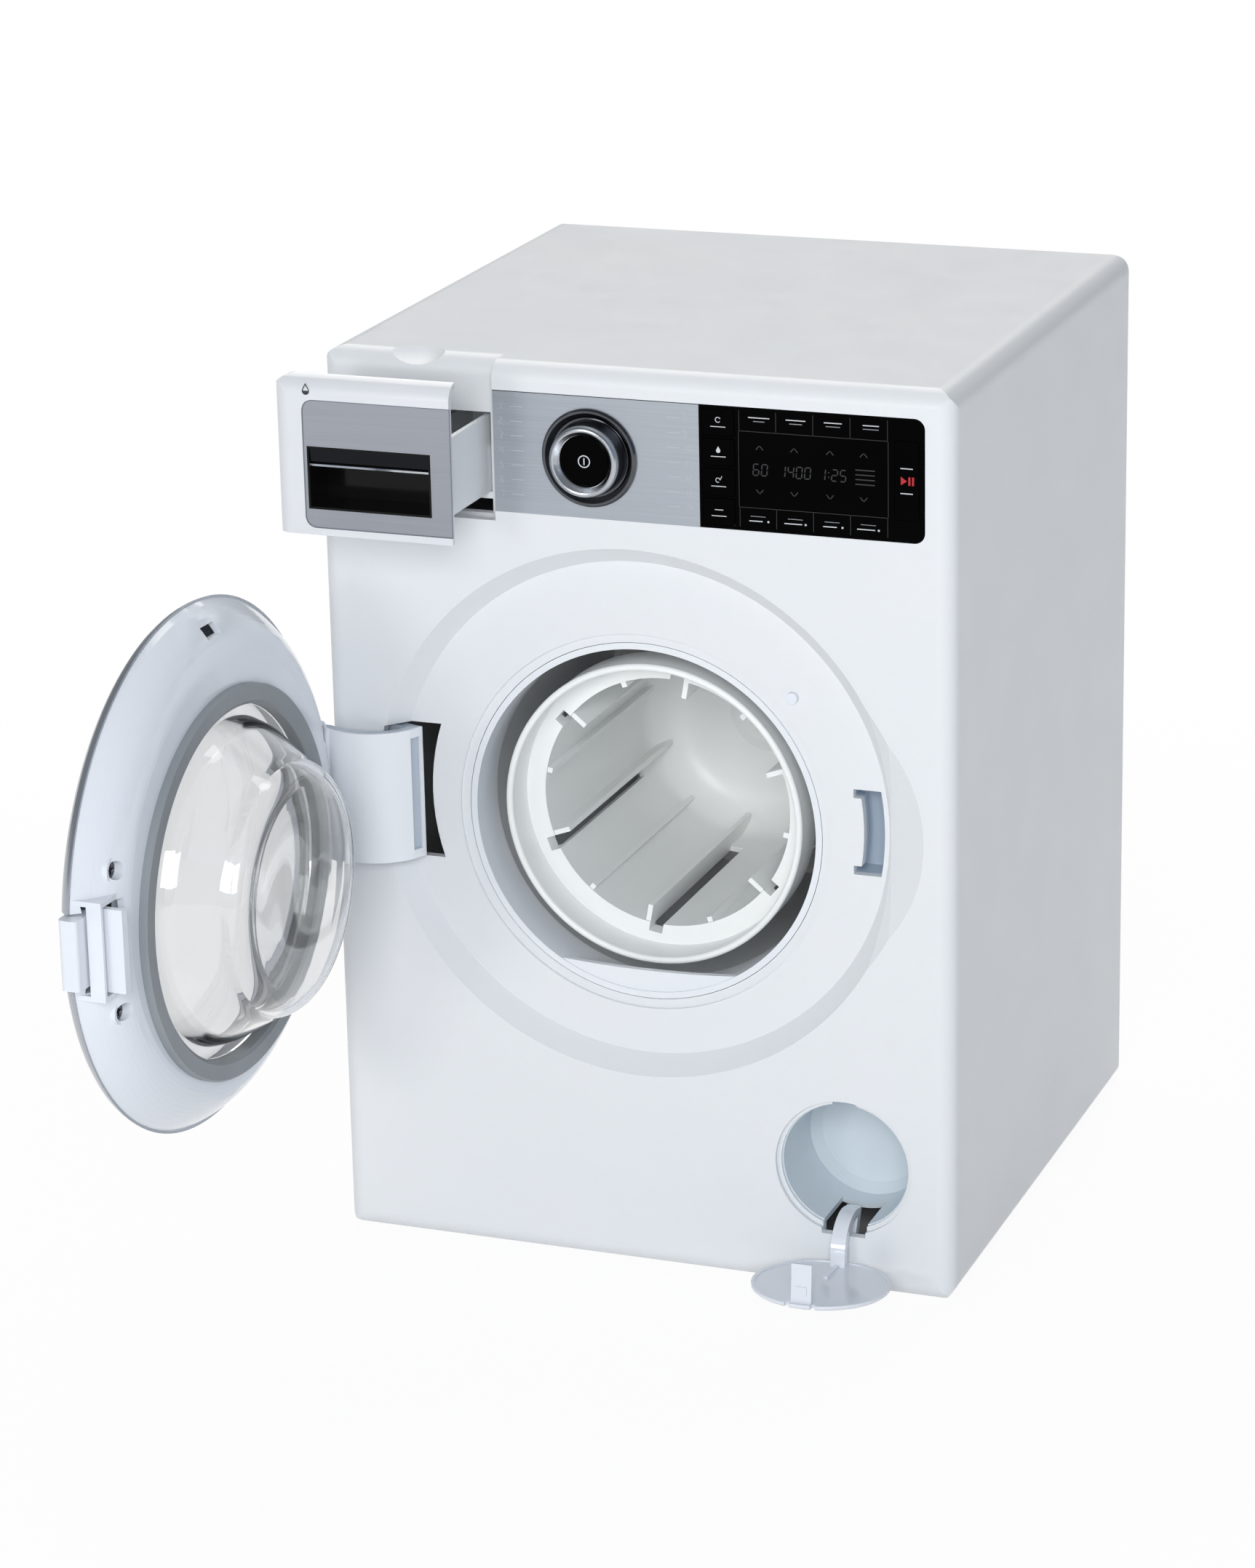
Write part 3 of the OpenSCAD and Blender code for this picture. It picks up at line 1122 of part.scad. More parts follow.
// Hinge arm: a band round the pin that runs through the slot, with a root inside the door
module hinge_arm() color([0.9, 0.92, 0.94]) on_door() difference() {
    mid = arm_r - arm_t / 2;
    root_x = hinge_x + mid * cos(30);
    root_y = hinge_y - mid * sin(30);
    union() {
        zplate(arm_z0, arm_z0 + arm_h) {
            translate([hinge_x, hinge_y]) {
                intersection() {
                    difference() {
                        circle(arm_r);
                        circle(arm_r - arm_t);
                    }
                    polygon([[0, 0], [40 * cos(76), 40 * sin(76)], [60, 30], [60, -30],
                        [40 * cos(-31), 40 * sin(-31)]]);
                }
                // Web from the knuckle to the band
                rotate(70) polygon([[0, -1.6], [mid, -1.5], [mid, 1.5], [0, 1.6]]);
                circle(3.8);
            }
            // Root in the door
            polygon([[root_x + 1.5, root_y + 0.6], [root_x - 1.2, root_y + 1.2], [root_x - 2, root_y - 1],
                [root_x - 2, rim_y + 0.4], [root_x + 1.2, rim_y + 0.4], [root_x + 1.2, rim_y - 1],
                [root_x + 3, rim_y - 1], [root_x + 3, root_y - 1]]);
        }
        span([root_x + 2.2, rim_y - 1, door_z - screw_z - 4],
            [-screw_x + 2.9, rim_y + 0.55, door_z + screw_z + 4]);
    }
    for (s = [-1, 1]) ycyl(-screw_x, door_z + s * screw_z, screw_r + run_gap, rim_y - 2, rim_y + 2);
    // Bore of the pin and the groove near the band's edge
    translate([hinge_x, hinge_y, arm_z0 - over]) cylinder(r = pin_r + run_gap, h = arm_h + 2 * over);
    translate([hinge_x, hinge_y, door_z]) rotate([0, 0, 66]) translate([arm_r, 0, 0])
        cube([2.2, 3.4, arm_h - 5], center = true);
}

module latch_pin() color("silver") on_door() translate([latch_x, latch_y, door_z - hook_h / 2 - 1.2])
    cylinder(r = latch_pin_r, h = hook_h + 2.4);

// Latch lever: the grip at the door's edge, the knuckle and the hook
module door_latch() color([0.9, 0.93, 0.93]) on_door() difference() {
    union() {
        zplate(door_z - latch_h / 2, door_z + latch_h / 2) {
            soft_rect([latch_x + 4, rim_y - 1.8], [door_r + 2.4, rim_y + 3.8], [0.4, 1.6, 1, 0.4]);
            translate([latch_x, latch_y]) circle(2);
            translate([latch_x, latch_y - 1]) square([5, 2]);
        }
        zplate(door_z - hook_h / 2, door_z + hook_h / 2) {
            polygon([[latch_x + 3.9, rim_y + 3], [latch_x + 5.9, rim_y + 3], [latch_x + 5.7, hook_y],
                [latch_x + 3, hook_y], [latch_x + 3.2, hook_y - 0.7], [latch_x + 3.9, hook_y - 1.2]]);
        }
    }
    translate([latch_x, latch_y, door_z - 20]) cylinder(r = latch_pin_r + run_gap, h = 40);
}

cabinet();
rear_cover();
cover_screws();
port_collar();
tub();
tub_screws();
shaft_bush();
drum();
drum_rim();
drum_shaft();
drum_gear();
motor_bracket();
motor();
motor_shaft();
motor_pinion();
battery_box();
batteries();
battery_contacts();
battery_door();
battery_door_screw();
circuit_board();
speaker();
fascia_plate();
display_panel();
display_module();
option_key(1);  // option_key_1
option_key(2);  // option_key_2
option_key(3);  // option_key_3
option_key(4);  // option_key_4
start_button();
dial_bezel();
dial_encoder();
program_dial();
power_button();
hinge_bracket();
hinge_pin();
latch_keeper();
door_switch();
door_switch_pin();
drawer_guide();
filter_cup();
flap_bracket();
flap_pin();
service_flap();
drawer_front();
drawer_plate();
drawer_handle();
handle_bar();
drawer_tray();
door_ring();
door_shell();
door_gasket();
door_bowl();
door_window();
door_screws();
hinge_arm();
latch_pin();
door_latch();
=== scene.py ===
"""Looks of the toy washing machine: finishes with painted shade and reflections, soft edges, clear mouldings,
printed marks and the stage.
"""

import json
import math

import bmesh
import bpy
import numpy as np
from mathutils import Matrix, Vector

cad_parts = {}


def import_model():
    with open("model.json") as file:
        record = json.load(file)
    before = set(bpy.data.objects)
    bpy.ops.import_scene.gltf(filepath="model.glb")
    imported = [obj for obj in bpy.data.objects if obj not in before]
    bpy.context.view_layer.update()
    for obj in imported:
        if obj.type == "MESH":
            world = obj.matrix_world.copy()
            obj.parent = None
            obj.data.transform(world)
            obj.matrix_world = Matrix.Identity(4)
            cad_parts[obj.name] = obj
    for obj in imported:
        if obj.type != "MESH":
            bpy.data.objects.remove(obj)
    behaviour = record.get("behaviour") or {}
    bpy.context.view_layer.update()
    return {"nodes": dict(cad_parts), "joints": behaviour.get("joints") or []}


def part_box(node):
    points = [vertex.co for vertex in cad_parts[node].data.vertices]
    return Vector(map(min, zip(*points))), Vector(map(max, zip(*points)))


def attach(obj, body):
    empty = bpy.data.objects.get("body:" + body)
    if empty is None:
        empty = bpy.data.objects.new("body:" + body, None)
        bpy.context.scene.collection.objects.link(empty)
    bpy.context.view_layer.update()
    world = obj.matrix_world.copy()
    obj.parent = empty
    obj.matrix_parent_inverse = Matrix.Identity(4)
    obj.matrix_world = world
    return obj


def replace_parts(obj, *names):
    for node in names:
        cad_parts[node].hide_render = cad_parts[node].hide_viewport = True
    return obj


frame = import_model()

NODES = frame["nodes"]
JOINTS = {joint["name"]: joint for joint in frame["joints"]}
MM = 0.001


# ---------- places, in metres ----------

def middle(lo, hi):
    """X and Z of the middle of a box."""
    return (lo.x + hi.x) / 2, (lo.z + hi.z) / 2


DIAL_LO, DIAL_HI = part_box("program_dial")
PLATE_LO, PLATE_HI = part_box("fascia_plate")
PANEL_LO, PANEL_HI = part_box("display_panel")
POWER_LO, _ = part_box("power_button")
START_LO, START_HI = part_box("start_button")
SCREEN_LO, SCREEN_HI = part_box("display_module")
DRAWER_LO, DRAWER_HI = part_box("drawer_front")
COVER_LO, COVER_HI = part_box("drawer_plate")
BAR_LO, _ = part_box("handle_bar")
HINGE_X, HINGE_Y, DOOR_Z = JOINTS["door_hinge"]["pos_m"]
PORT_Z = JOINTS["drum_spin"]["pos_m"][2]
DOOR_OPEN = math.radians(JOINTS["door_hinge"]["range_deg"][1])


# ---------- node helpers ----------

FLOAT, COLOUR = "NodeSocketFloat", "NodeSocketColor"
# A colour Mix node's sockets: its factor and two colours, and the mixed colour
MIX_INPUTS, MIX_OUTPUT = (0, 6, 7), 2
# The range that most of a noise lies in
NOISE_LOW, NOISE_HIGH = 0.3, 0.7


def feed(tree, socket, value):
    """Joins another node's output to an input, or sets the input's own value."""
    if isinstance(value, bpy.types.NodeSocket):
        tree.links.new(value, socket)
    else:
        socket.default_value = value


def add_node(tree, kind, **values):
    """A node of that kind. Each value or output goes to the input of its name; other names are settings."""
    node = tree.nodes.new(kind)
    for key, value in values.items():
        label = key.replace("_", " ")
        if label in node.inputs:
            feed(tree, node.inputs[label], value)
        else:
            setattr(node, key, value)
    return node


def math_node(tree, operation, *values):
    """Result of a Math node."""
    node = add_node(tree, "ShaderNodeMath", operation=operation)
    for socket, value in zip(node.inputs, values):
        feed(tree, socket, value)
    return node.outputs[0]


def between(tree, value, low, high, to_low=0.0, to_high=1.0):
    """Value carried from the range low to high onto another range, and held at its ends."""
    node = add_node(tree, "ShaderNodeMapRange", Value=value, From_Min=low, From_Max=high, To_Min=to_low,
                    To_Max=to_high)
    return node.outputs["Result"]


def blend_colours(tree, share, first, second):
    """Colour that goes from the first to the second as the share goes from 0 to 1."""
    node = add_node(tree, "ShaderNodeMix", data_type="RGBA")
    for index, value in zip(MIX_INPUTS, (share, first, second)):
        feed(tree, node.inputs[index], value)
    return node.outputs[MIX_OUTPUT]


def object_place(tree):
    """Place on the piece, in metres."""
    return add_node(tree, "ShaderNodeTexCoord").outputs["Object"]


def noise(tree, place, scale, **values):
    """Noise from 0 to 1 at a place."""
    return add_node(tree, "ShaderNodeTexNoise", Vector=place, Scale=scale, **values).outputs["Fac"]


def new_group(name, inputs, outputs):
    """An empty shader group, with what it is given and what it makes as sockets to use inside it."""
    tree = bpy.data.node_groups.new(name, "ShaderNodeTree")
    for label, kind, value in inputs:
        socket = tree.interface.new_socket(label, in_out="INPUT", socket_type=kind)
        socket.default_value = value
    for label, kind in outputs:
        tree.interface.new_socket(label, in_out="OUTPUT", socket_type=kind)
    return tree, tree.nodes.new("NodeGroupInput").outputs, tree.nodes.new("NodeGroupOutput").inputs


class Shade:
    """A material with its node tree and its surface shader."""

    def __init__(self, name):
        self.material = bpy.data.materials.new(name)
        self.material.use_nodes = True
        self.tree = self.material.node_tree
        self.surface = self.tree.nodes["Principled BSDF"]

    def set(self, **values):
        """Feeds the surface's inputs of those names."""
        for key, value in values.items():
            feed(self.tree, self.surface.inputs[key.replace("_", " ")], value)

    def bump(self, height, distance):
        """Tilts the surface's normal by a height, of which 1 stands for that distance."""
        node = add_node(self.tree, "ShaderNodeBump", Height=height, Distance=distance, Strength=1.0)
        self.set(Normal=node.outputs["Normal"])


# ---------- shared skins ----------

def moulded_skin():
    """Moulded plastic: fine spark-eroded grain, slow sink waves, faint smudges and a soft tint change.

    Height = fine noise x Grain + slow noise x Wave. The slow noise sets the tint, the smudges the
    roughness."""
    tree, given, made = new_group(
        "moulded_skin",
        [("Colour", COLOUR, (0.8, 0.8, 0.8, 1)), ("Shift", COLOUR, (0.7, 0.7, 0.7, 1)),
         ("Grain Scale", FLOAT, 2500.0), ("Grain", FLOAT, 1.0), ("Wave", FLOAT, 1.0),
         ("Rough Low", FLOAT, 0.3), ("Rough High", FLOAT, 0.45)],
        [("Colour", COLOUR), ("Roughness", FLOAT), ("Height", FLOAT)])
    place = object_place(tree)
    fine = noise(tree, place, given["Grain Scale"], Detail=2.0, Roughness=0.6)
    slow = noise(tree, place, 28.0, Detail=1.0)
    smudge = noise(tree, place, 55.0, Detail=4.0, Roughness=0.65, Distortion=0.6)
    tint = between(tree, slow, 0.3, 0.75)
    grain = math_node(tree, "MULTIPLY", fine, given["Grain"])
    wave = math_node(tree, "MULTIPLY", slow, given["Wave"])
    feed(tree, made["Colour"], blend_colours(tree, tint, given["Colour"], given["Shift"]))
    feed(tree, made["Roughness"], between(tree, smudge, 0.35, 0.7, given["Rough Low"], given["Rough High"]))
    feed(tree, made["Height"], math_node(tree, "ADD", grain, wave))
    return tree


def brushed_grain():
    """Brushed metal or lacquer: one noise, stretched along X, is its height, its tone and its roughness."""
    tree, given, made = new_group(
        "brushed_grain",
        [("Colour", COLOUR, (0.4, 0.4, 0.4, 1)), ("Streak", COLOUR, (0.6, 0.6, 0.6, 1)),
         ("Along", FLOAT, 12.0), ("Across", FLOAT, 1600.0),
         ("Rough Low", FLOAT, 0.25), ("Rough High", FLOAT, 0.42)],
        [("Colour", COLOUR), ("Roughness", FLOAT), ("Height", FLOAT)])
    across = given["Across"]
    scale = add_node(tree, "ShaderNodeCombineXYZ", X=given["Along"], Y=across, Z=across)
    stretched = add_node(tree, "ShaderNodeVectorMath", operation="MULTIPLY")
    feed(tree, stretched.inputs[0], object_place(tree))
    feed(tree, stretched.inputs[1], scale.outputs[0])
    fine = noise(tree, stretched.outputs[0], 1.0, Detail=3.0, Roughness=0.7)
    tone = between(tree, fine, NOISE_LOW, NOISE_HIGH)
    rough = between(tree, fine, NOISE_LOW, NOISE_HIGH, given["Rough Low"], given["Rough High"])
    feed(tree, made["Colour"], blend_colours(tree, tone, given["Colour"], given["Streak"]))
    feed(tree, made["Roughness"], rough)
    feed(tree, made["Height"], fine)
    return tree


SKIN = moulded_skin()
BRUSHED = brushed_grain()


# ---------- finishes ----------
# Colours are 8-bit screen colours, and rough is the least and the greatest roughness.

def linear(colour):
    """Linear colour of a screen colour."""
    shares = [value / 255 for value in colour]
    return (*[c / 12.92 if c <= 0.04045 else ((c + 0.055) / 1.055) ** 2.4 for c in shares], 1.0)


def plastic(name, colour, shift, rough, grain_scale=2600.0, grain=1.0, wave=0.0, bump=0.02 * MM,
            coat=0.0, specular=0.5, metallic=0.0):
    """Moulded plastic, bare or lacquered, whose colour drifts to the shift in soft patches."""
    shade = Shade(name)
    skin = add_node(shade.tree, "ShaderNodeGroup", node_tree=SKIN, Colour=linear(colour), Shift=linear(shift),
                    Grain_Scale=grain_scale, Grain=grain, Wave=wave, Rough_Low=rough[0], Rough_High=rough[1])
    shade.set(Base_Color=skin.outputs["Colour"], Roughness=skin.outputs["Roughness"], Metallic=metallic,
              IOR=1.5, Specular_IOR_Level=specular, Coat_Weight=coat, Coat_Roughness=0.06)
    shade.bump(skin.outputs["Height"], bump)
    return shade.material


def brushed(name, colour, streak, rough, metallic, along, across, bump=0.012 * MM):
    """Brushed metal or metallic lacquer, with streaks so many to the metre along X and across it."""
    shade = Shade(name)
    grain = add_node(shade.tree, "ShaderNodeGroup", node_tree=BRUSHED, Colour=linear(colour),
                     Streak=linear(streak), Along=along, Across=across, Rough_Low=rough[0],
                     Rough_High=rough[1])
    shade.set(Base_Color=grain.outputs["Colour"], Roughness=grain.outputs["Roughness"], Metallic=metallic)
    shade.bump(grain.outputs["Height"], bump)
    return shade.material


def metal_with_painted_reflection(name, axis, start, end, first, second, rough):
    """Polished metal with a painted reflection: its tone goes from the first to the second between two places
    along an axis.
    """
    shade = Shade(name)
    place = object_place(shade.tree)
    along = add_node(shade.tree, "ShaderNodeSeparateXYZ", Vector=place).outputs[axis]
    tone = between(shade.tree, along, start, end)
    haze = noise(shade.tree, place, 700.0, Detail=3.0, Roughness=0.6)
    shade.set(Base_Color=blend_colours(shade.tree, tone, linear(first), linear(second)),
              Roughness=between(shade.tree, haze, NOISE_LOW, NOISE_HIGH, *rough), Metallic=1.0)
    shade.bump(haze, 0.003 * MM)
    return shade.material


def paint_groove_shade(material, floor_r, top_r, colour):
    """Paints shade into a groove round the door's hinge: the colour goes over to another from its top to its
    floor.
    """
    tree = material.node_tree
    base = tree.nodes["Principled BSDF"].inputs["Base Color"]
    parts = add_node(tree, "ShaderNodeSeparateXYZ", Vector=object_place(tree)).outputs
    x = math_node(tree, "SUBTRACT", parts["X"], HINGE_X)
    y = math_node(tree, "SUBTRACT", parts["Y"], HINGE_Y)
    square = math_node(tree, "ADD", math_node(tree, "MULTIPLY", x, x), math_node(tree, "MULTIPLY", y, y))
    depth = between(tree, math_node(tree, "SQRT", square), top_r, floor_r)
    feed(tree, base, blend_colours(tree, depth, base.links[0].from_socket, linear(colour)))


def clear_plastic(name, ripple_scale, ripple):
    """Clear moulded plastic with slow flow ripples and a few fine scuffs."""
    shade = Shade(name)
    place = object_place(shade.tree)
    flow = noise(shade.tree, place, ripple_scale, Detail=1.5, Distortion=1.2)
    scuff = noise(shade.tree, place, 420.0, Detail=5.0, Roughness=0.8)
    shade.set(Base_Color=(0.90, 0.905, 0.91, 1), Roughness=between(shade.tree, scuff, 0.55, 0.8, 0.015, 0.12),
              Metallic=0.0, IOR=1.49, Transmission_Weight=1.0)
    shade.bump(flow, ripple)
    return shade.material


WHITE = plastic("white_cabinet", (231, 233, 236), (229, 232, 235), (0.33, 0.39), wave=0.15)
INNER_WHITE = plastic("inner_white", (243, 246, 248), (239, 242, 245), (0.34, 0.48))
COLLAR = plastic("collar_white", (234, 237, 241), (229, 233, 238), (0.30, 0.42))
DRUM_WHITE = plastic("drum_white", (245, 247, 246), (242, 244, 243), (0.32, 0.46), grain_scale=2200, wave=0.4)
TUB_GREY = plastic("tub_grey", (242, 244, 245), (237, 239, 241), (0.4, 0.55))
# Pale blue-grey that stands for painted shade on the white filter cup
CUP_SHADE_PAINTED = plastic("pale_blue", (218, 227, 233), (213, 223, 230), (0.34, 0.44))
# Blue-grey that stands for painted shade on the latch keeper, down in its pocket
KEEPER_SHADE_PAINTED = plastic("keeper_painted_shade", (186, 200, 214), (178, 193, 209), (0.30, 0.40))
ACETAL = plastic("acetal", (228, 222, 205), (220, 213, 196), (0.35, 0.5))
DARK_PLASTIC = plastic("dark_plastic", (38, 39, 41), (30, 31, 33), (0.4, 0.58))
CELL_SLEEVE = plastic("cell_sleeve", (70, 74, 82), (58, 62, 70), (0.2, 0.32))
BOARD = plastic("board_green", (24, 92, 54), (16, 74, 42), (0.25, 0.4))
ENCODER_BLUE = plastic("encoder_blue", (46, 84, 140), (40, 74, 126), (0.35, 0.5))
GASKET = plastic("gasket_grey", (150, 155, 159), (139, 145, 150), (0.38, 0.52),
                 grain_scale=1800, grain=1.3, wave=0.6)

GLOSS_WHITE = plastic("white_gloss", (231, 235, 242), (228, 233, 241), (0.07, 0.15),
                      grain_scale=900, grain=0.3, wave=0.9, bump=0.025 * MM, coat=0.35)
# A little darker than the cabinet's white: painted shade on the drawer's front
DRAWER_WHITE = plastic("white_drawer", (226, 228, 232), (222, 225, 229), (0.16, 0.26),
                       grain_scale=900, grain=0.35, wave=0.8, coat=0.2)
ARM_WHITE = plastic("white_arm", (238, 241, 246), (234, 238, 244), (0.10, 0.18),
                    grain_scale=900, grain=0.3, wave=0.6, coat=0.3)
GLOSS_BLACK = plastic("gloss_black", (4, 4, 4), (2, 2, 3), (0.08, 0.16),
                      grain_scale=600, grain=0.2, wave=0.6, bump=0.01 * MM, specular=0.02)
POCKET_BLACK = plastic("pocket_black", (12, 12, 13), (8, 8, 9), (0.10, 0.18),
                       grain_scale=600, grain=0.2, wave=0.6, bump=0.01 * MM, specular=0.16)
SILVER_PAINT = plastic("silver_paint", (176, 180, 187), (164, 169, 176), (0.22, 0.30),
                       grain_scale=3200, grain=0.5, wave=0.4, bump=0.01 * MM, coat=0.3, metallic=0.8)
# Painted shade on the floor of the hinge arm's groove
paint_groove_shade(ARM_WHITE, 15.6 * MM, 16.6 * MM, (176, 187, 200))

BRONZE = brushed("bronze", (176, 140, 88), (196, 160, 104), (0.4, 0.55), 1.0, along=200, across=800)
STEEL = brushed("steel", (160, 162, 165), (192, 194, 197), (0.28, 0.42), 1.0, along=120, across=2200)
SILVER = brushed("silver_plate", (164, 170, 178), (177, 182, 189), (0.42, 0.52), 0.65,
                 along=16, across=2600, bump=0.005 * MM)
SATIN = brushed("satin_plate", (152, 155, 163), (159, 162, 169), (0.40, 0.50), 0.7,
                along=16, across=2600, bump=0.003 * MM)
# Chrome darkened in its colour: painted dark reflections on the dial's bezel, and painted shade on the door
# screws down in their holes
CHROME_DARK_PAINTED = brushed("chrome_painted_dark", (78, 80, 84), (96, 98, 102), (0.08, 0.15), 1.0,
                      along=60, across=90, bump=0.004 * MM)
# Painted reflection: the dial's front ring lighter and its side darker
DIAL_REFLECTED_TONES = metal_with_painted_reflection("dial_painted_reflection", "Y", DIAL_LO.y + 1.3 * MM, DIAL_LO.y + 2.2 * MM,
                      (188, 191, 196), (126, 129, 134), (0.20, 0.27))
# Painted highlight: a bright strip along the bar's lower edge, with a dark painted reflection above it
BAR_HIGHLIGHT_TONES = metal_with_painted_reflection("bar_painted_highlight", "Z", BAR_LO.z + 0.55 * MM, BAR_LO.z + 0.75 * MM,
                     (214, 216, 220), (34, 35, 38), (0.07, 0.13))
CLEAR_BOWL = clear_plastic("clear_bowl", 24.0, 0.06 * MM)
CLEAR_WINDOW = clear_plastic("clear_window", 14.0, 0.03 * MM)

MARK_WHITE = plastic("mark_white", (212, 215, 218), (200, 203, 207), (0.4, 0.55))
MARK_PALE = plastic("mark_pale", (188, 191, 196), (182, 185, 190), (0.4, 0.55))
MARK_GREY = plastic("mark_grey", (148, 151, 154), (136, 139, 142), (0.4, 0.55))
# Painted shadow in the gap round the drawer's silver plate
SHADOW_LINE_GREY = plastic("painted_shadow_grey", (116, 122, 132), (106, 112, 122), (0.4, 0.55))
# Dark print of the drawer's drop mark, and the painted shadow along the top of the silver plate
DARK_PRINT_AND_SHADOW = plastic("print_and_shadow_dark", (42, 44, 47), (34, 36, 39), (0.35, 0.5))
MARK_DIM = plastic("mark_dim", (40, 42, 44), (33, 35, 37), (0.3, 0.4))
MARK_FAINT = plastic("mark_faint", (27, 28, 30), (21, 22, 24), (0.3, 0.4))
MARK_RED = plastic("mark_red", (200, 30, 34), (178, 22, 28), (0.35, 0.5))

FINISH = {
    "cabinet": WHITE, "rear_cover": WHITE, "battery_door": WHITE,
    "hinge_bracket": INNER_WHITE, "drawer_guide": INNER_WHITE, "flap_bracket": INNER_WHITE,
    "drawer_tray": INNER_WHITE, "port_collar": COLLAR,
    "tub": TUB_GREY, "motor_bracket": TUB_GREY, "drum": DRUM_WHITE, "drum_rim": DRUM_WHITE,
    "latch_keeper": KEEPER_SHADE_PAINTED, "filter_cup": CUP_SHADE_PAINTED,
    "drum_gear": ACETAL, "motor_pinion": ACETAL, "shaft_bush": BRONZE,
    "cover_screws": STEEL, "tub_screws": STEEL, "battery_door_screw": STEEL, "battery_contacts": STEEL,
    "drum_shaft": STEEL, "motor_shaft": STEEL, "motor": STEEL, "hinge_pin": STEEL, "flap_pin": STEEL,
    "latch_pin": STEEL, "door_screws": CHROME_DARK_PAINTED, "dial_bezel": CHROME_DARK_PAINTED,
    "battery_box": DARK_PLASTIC, "door_switch": DARK_PLASTIC, "speaker": DARK_PLASTIC,
    "display_module": DARK_PLASTIC, "batteries": CELL_SLEEVE, "circuit_board": BOARD,
    "dial_encoder": ENCODER_BLUE, "fascia_plate": SILVER, "program_dial": DIAL_REFLECTED_TONES,
    "display_panel": GLOSS_BLACK, "start_button": GLOSS_BLACK, "power_button": GLOSS_BLACK,
    "drawer_front": DRAWER_WHITE, "drawer_plate": SATIN, "drawer_handle": POCKET_BLACK,
    "handle_bar": BAR_HIGHLIGHT_TONES,
    "door_shell": GLOSS_WHITE, "door_latch": GLOSS_WHITE, "door_switch_pin": GLOSS_WHITE,
    "service_flap": GLOSS_WHITE, "hinge_arm": ARM_WHITE, "door_gasket": GASKET, "door_ring": SILVER_PAINT,
    "door_bowl": CLEAR_BOWL, "door_window": CLEAR_WINDOW,
}
FINISH.update({name: GLOSS_BLACK for name in NODES if name.startswith("option_key_")})

for name, node in NODES.items():
    slots = node.data.materials
    if not len(slots):
        slots.append(FINISH[name])
    for index in range(len(slots)):
        slots[index] = FINISH[name]


# ---------- softened edges of the moulded pieces whose rims face the light, in mm ----------

EDGES = {"drawer_front": 0.3, "drawer_tray": 0.2, "handle_bar": 0.15, "door_latch": 0.25, "latch_keeper": 0.2,
         "hinge_arm": 0.25, "service_flap": 0.15}
EDGE_STEPS, EDGE_ANGLE = 2, math.radians(50)

for name, width in EDGES.items():
    soft = NODES[name].modifiers.new("soft_edges", "BEVEL")
    soft.width = width * MM
    soft.segments = EDGE_STEPS
    soft.limit_method = "ANGLE"
    soft.angle_limit = EDGE_ANGLE
    soft.harden_normals = True


# ---------- pieces made here ----------

def new_piece(name, points, faces, material):
    """An object in the scene with its place in its mesh."""
    mesh = bpy.data.meshes.new(name)
    mesh.from_pydata(points, [], faces)
    mesh.materials.append(material)
    piece = bpy.data.objects.new(name, mesh)
    bpy.context.scene.collection.objects.link(piece)
    return piece


# ---------- clear bowl and window of the door, laid out in mm of the closed door ----------

SHARP_EDGE = math.radians(40)


def swung(points, angle):
    """Points turned about the door's hinge by an angle: away from the hinge, x' = x cos a - y sin a and
    y' = x sin a + y cos a."""
    x, y = points[:, 0] - HINGE_X / MM, points[:, 1] - HINGE_Y / MM
    c, s = math.cos(angle), math.sin(angle)
    return np.column_stack([HINGE_X / MM + x * c - y * s, HINGE_Y / MM + x * s + y * c, points[:, 2]])


def closed_depth(name):
    """Least and greatest y of a node of the door when the door is shut."""
    vertices = NODES[name].data.vertices
    places = np.empty(3 * len(vertices), np.float32)
    vertices.foreach_get("co", places)
    depth = swung(places.reshape(-1, 3) / MM, DOOR_OPEN)[:, 1]
    return depth.min(), depth.max()


def arc(centre_r, centre_y, radius, start, end, count=14):
    """Profile points (centre_r + radius cos a, centre_y + radius sin a) from start to end, in degrees."""
    angle = np.radians(np.linspace(start, end, count))
    return np.column_stack([centre_r + radius * np.cos(angle), centre_y + radius * np.sin(angle)])


def turned(name, profile, centre_z, material, around=160):
    """Closed surface of revolution about a Y axis: vertex (i, k) lies at
    (r_k cos a_i, y_k, centre_z + r_k sin a_i), and the profile's first and last points are its poles."""
    angle = np.arange(around)[:, None] * 2 * math.pi / around
    r, y = profile[1:-1].T
    rings = np.stack([r * np.cos(angle), np.tile(y, (around, 1)), centre_z + r * np.sin(angle)], axis=-1)
    poles = [(0, profile[0, 1], centre_z), (0, profile[-1, 1], centre_z)]
    near = np.arange(around * len(r)).reshape(around, -1)
    far = np.roll(near, -1, axis=0)
    first, last = np.full(around, near.size), np.full(around, near.size + 1)
    sides = np.stack([near[:, :-1], far[:, :-1], far[:, 1:], near[:, 1:]], axis=-1).reshape(-1, 4)
    caps = np.vstack([np.column_stack([first, far[:, 0], near[:, 0]]),
                      np.column_stack([near[:, -1], far[:, -1], last])])
    points = swung(np.vstack([rings.reshape(-1, 3), poles]), -DOOR_OPEN) * MM
    piece = new_piece(name, points.tolist(), sides.tolist() + caps.tolist(), material)
    mesh = piece.data
    build = bmesh.new()
    build.from_mesh(mesh)
    bmesh.ops.recalc_face_normals(build, faces=build.faces)
    build.to_mesh(mesh)
    build.free()
    mesh.shade_smooth()
    mesh.set_sharp_from_angle(angle=SHARP_EDGE)
    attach(piece, "door")
    return piece


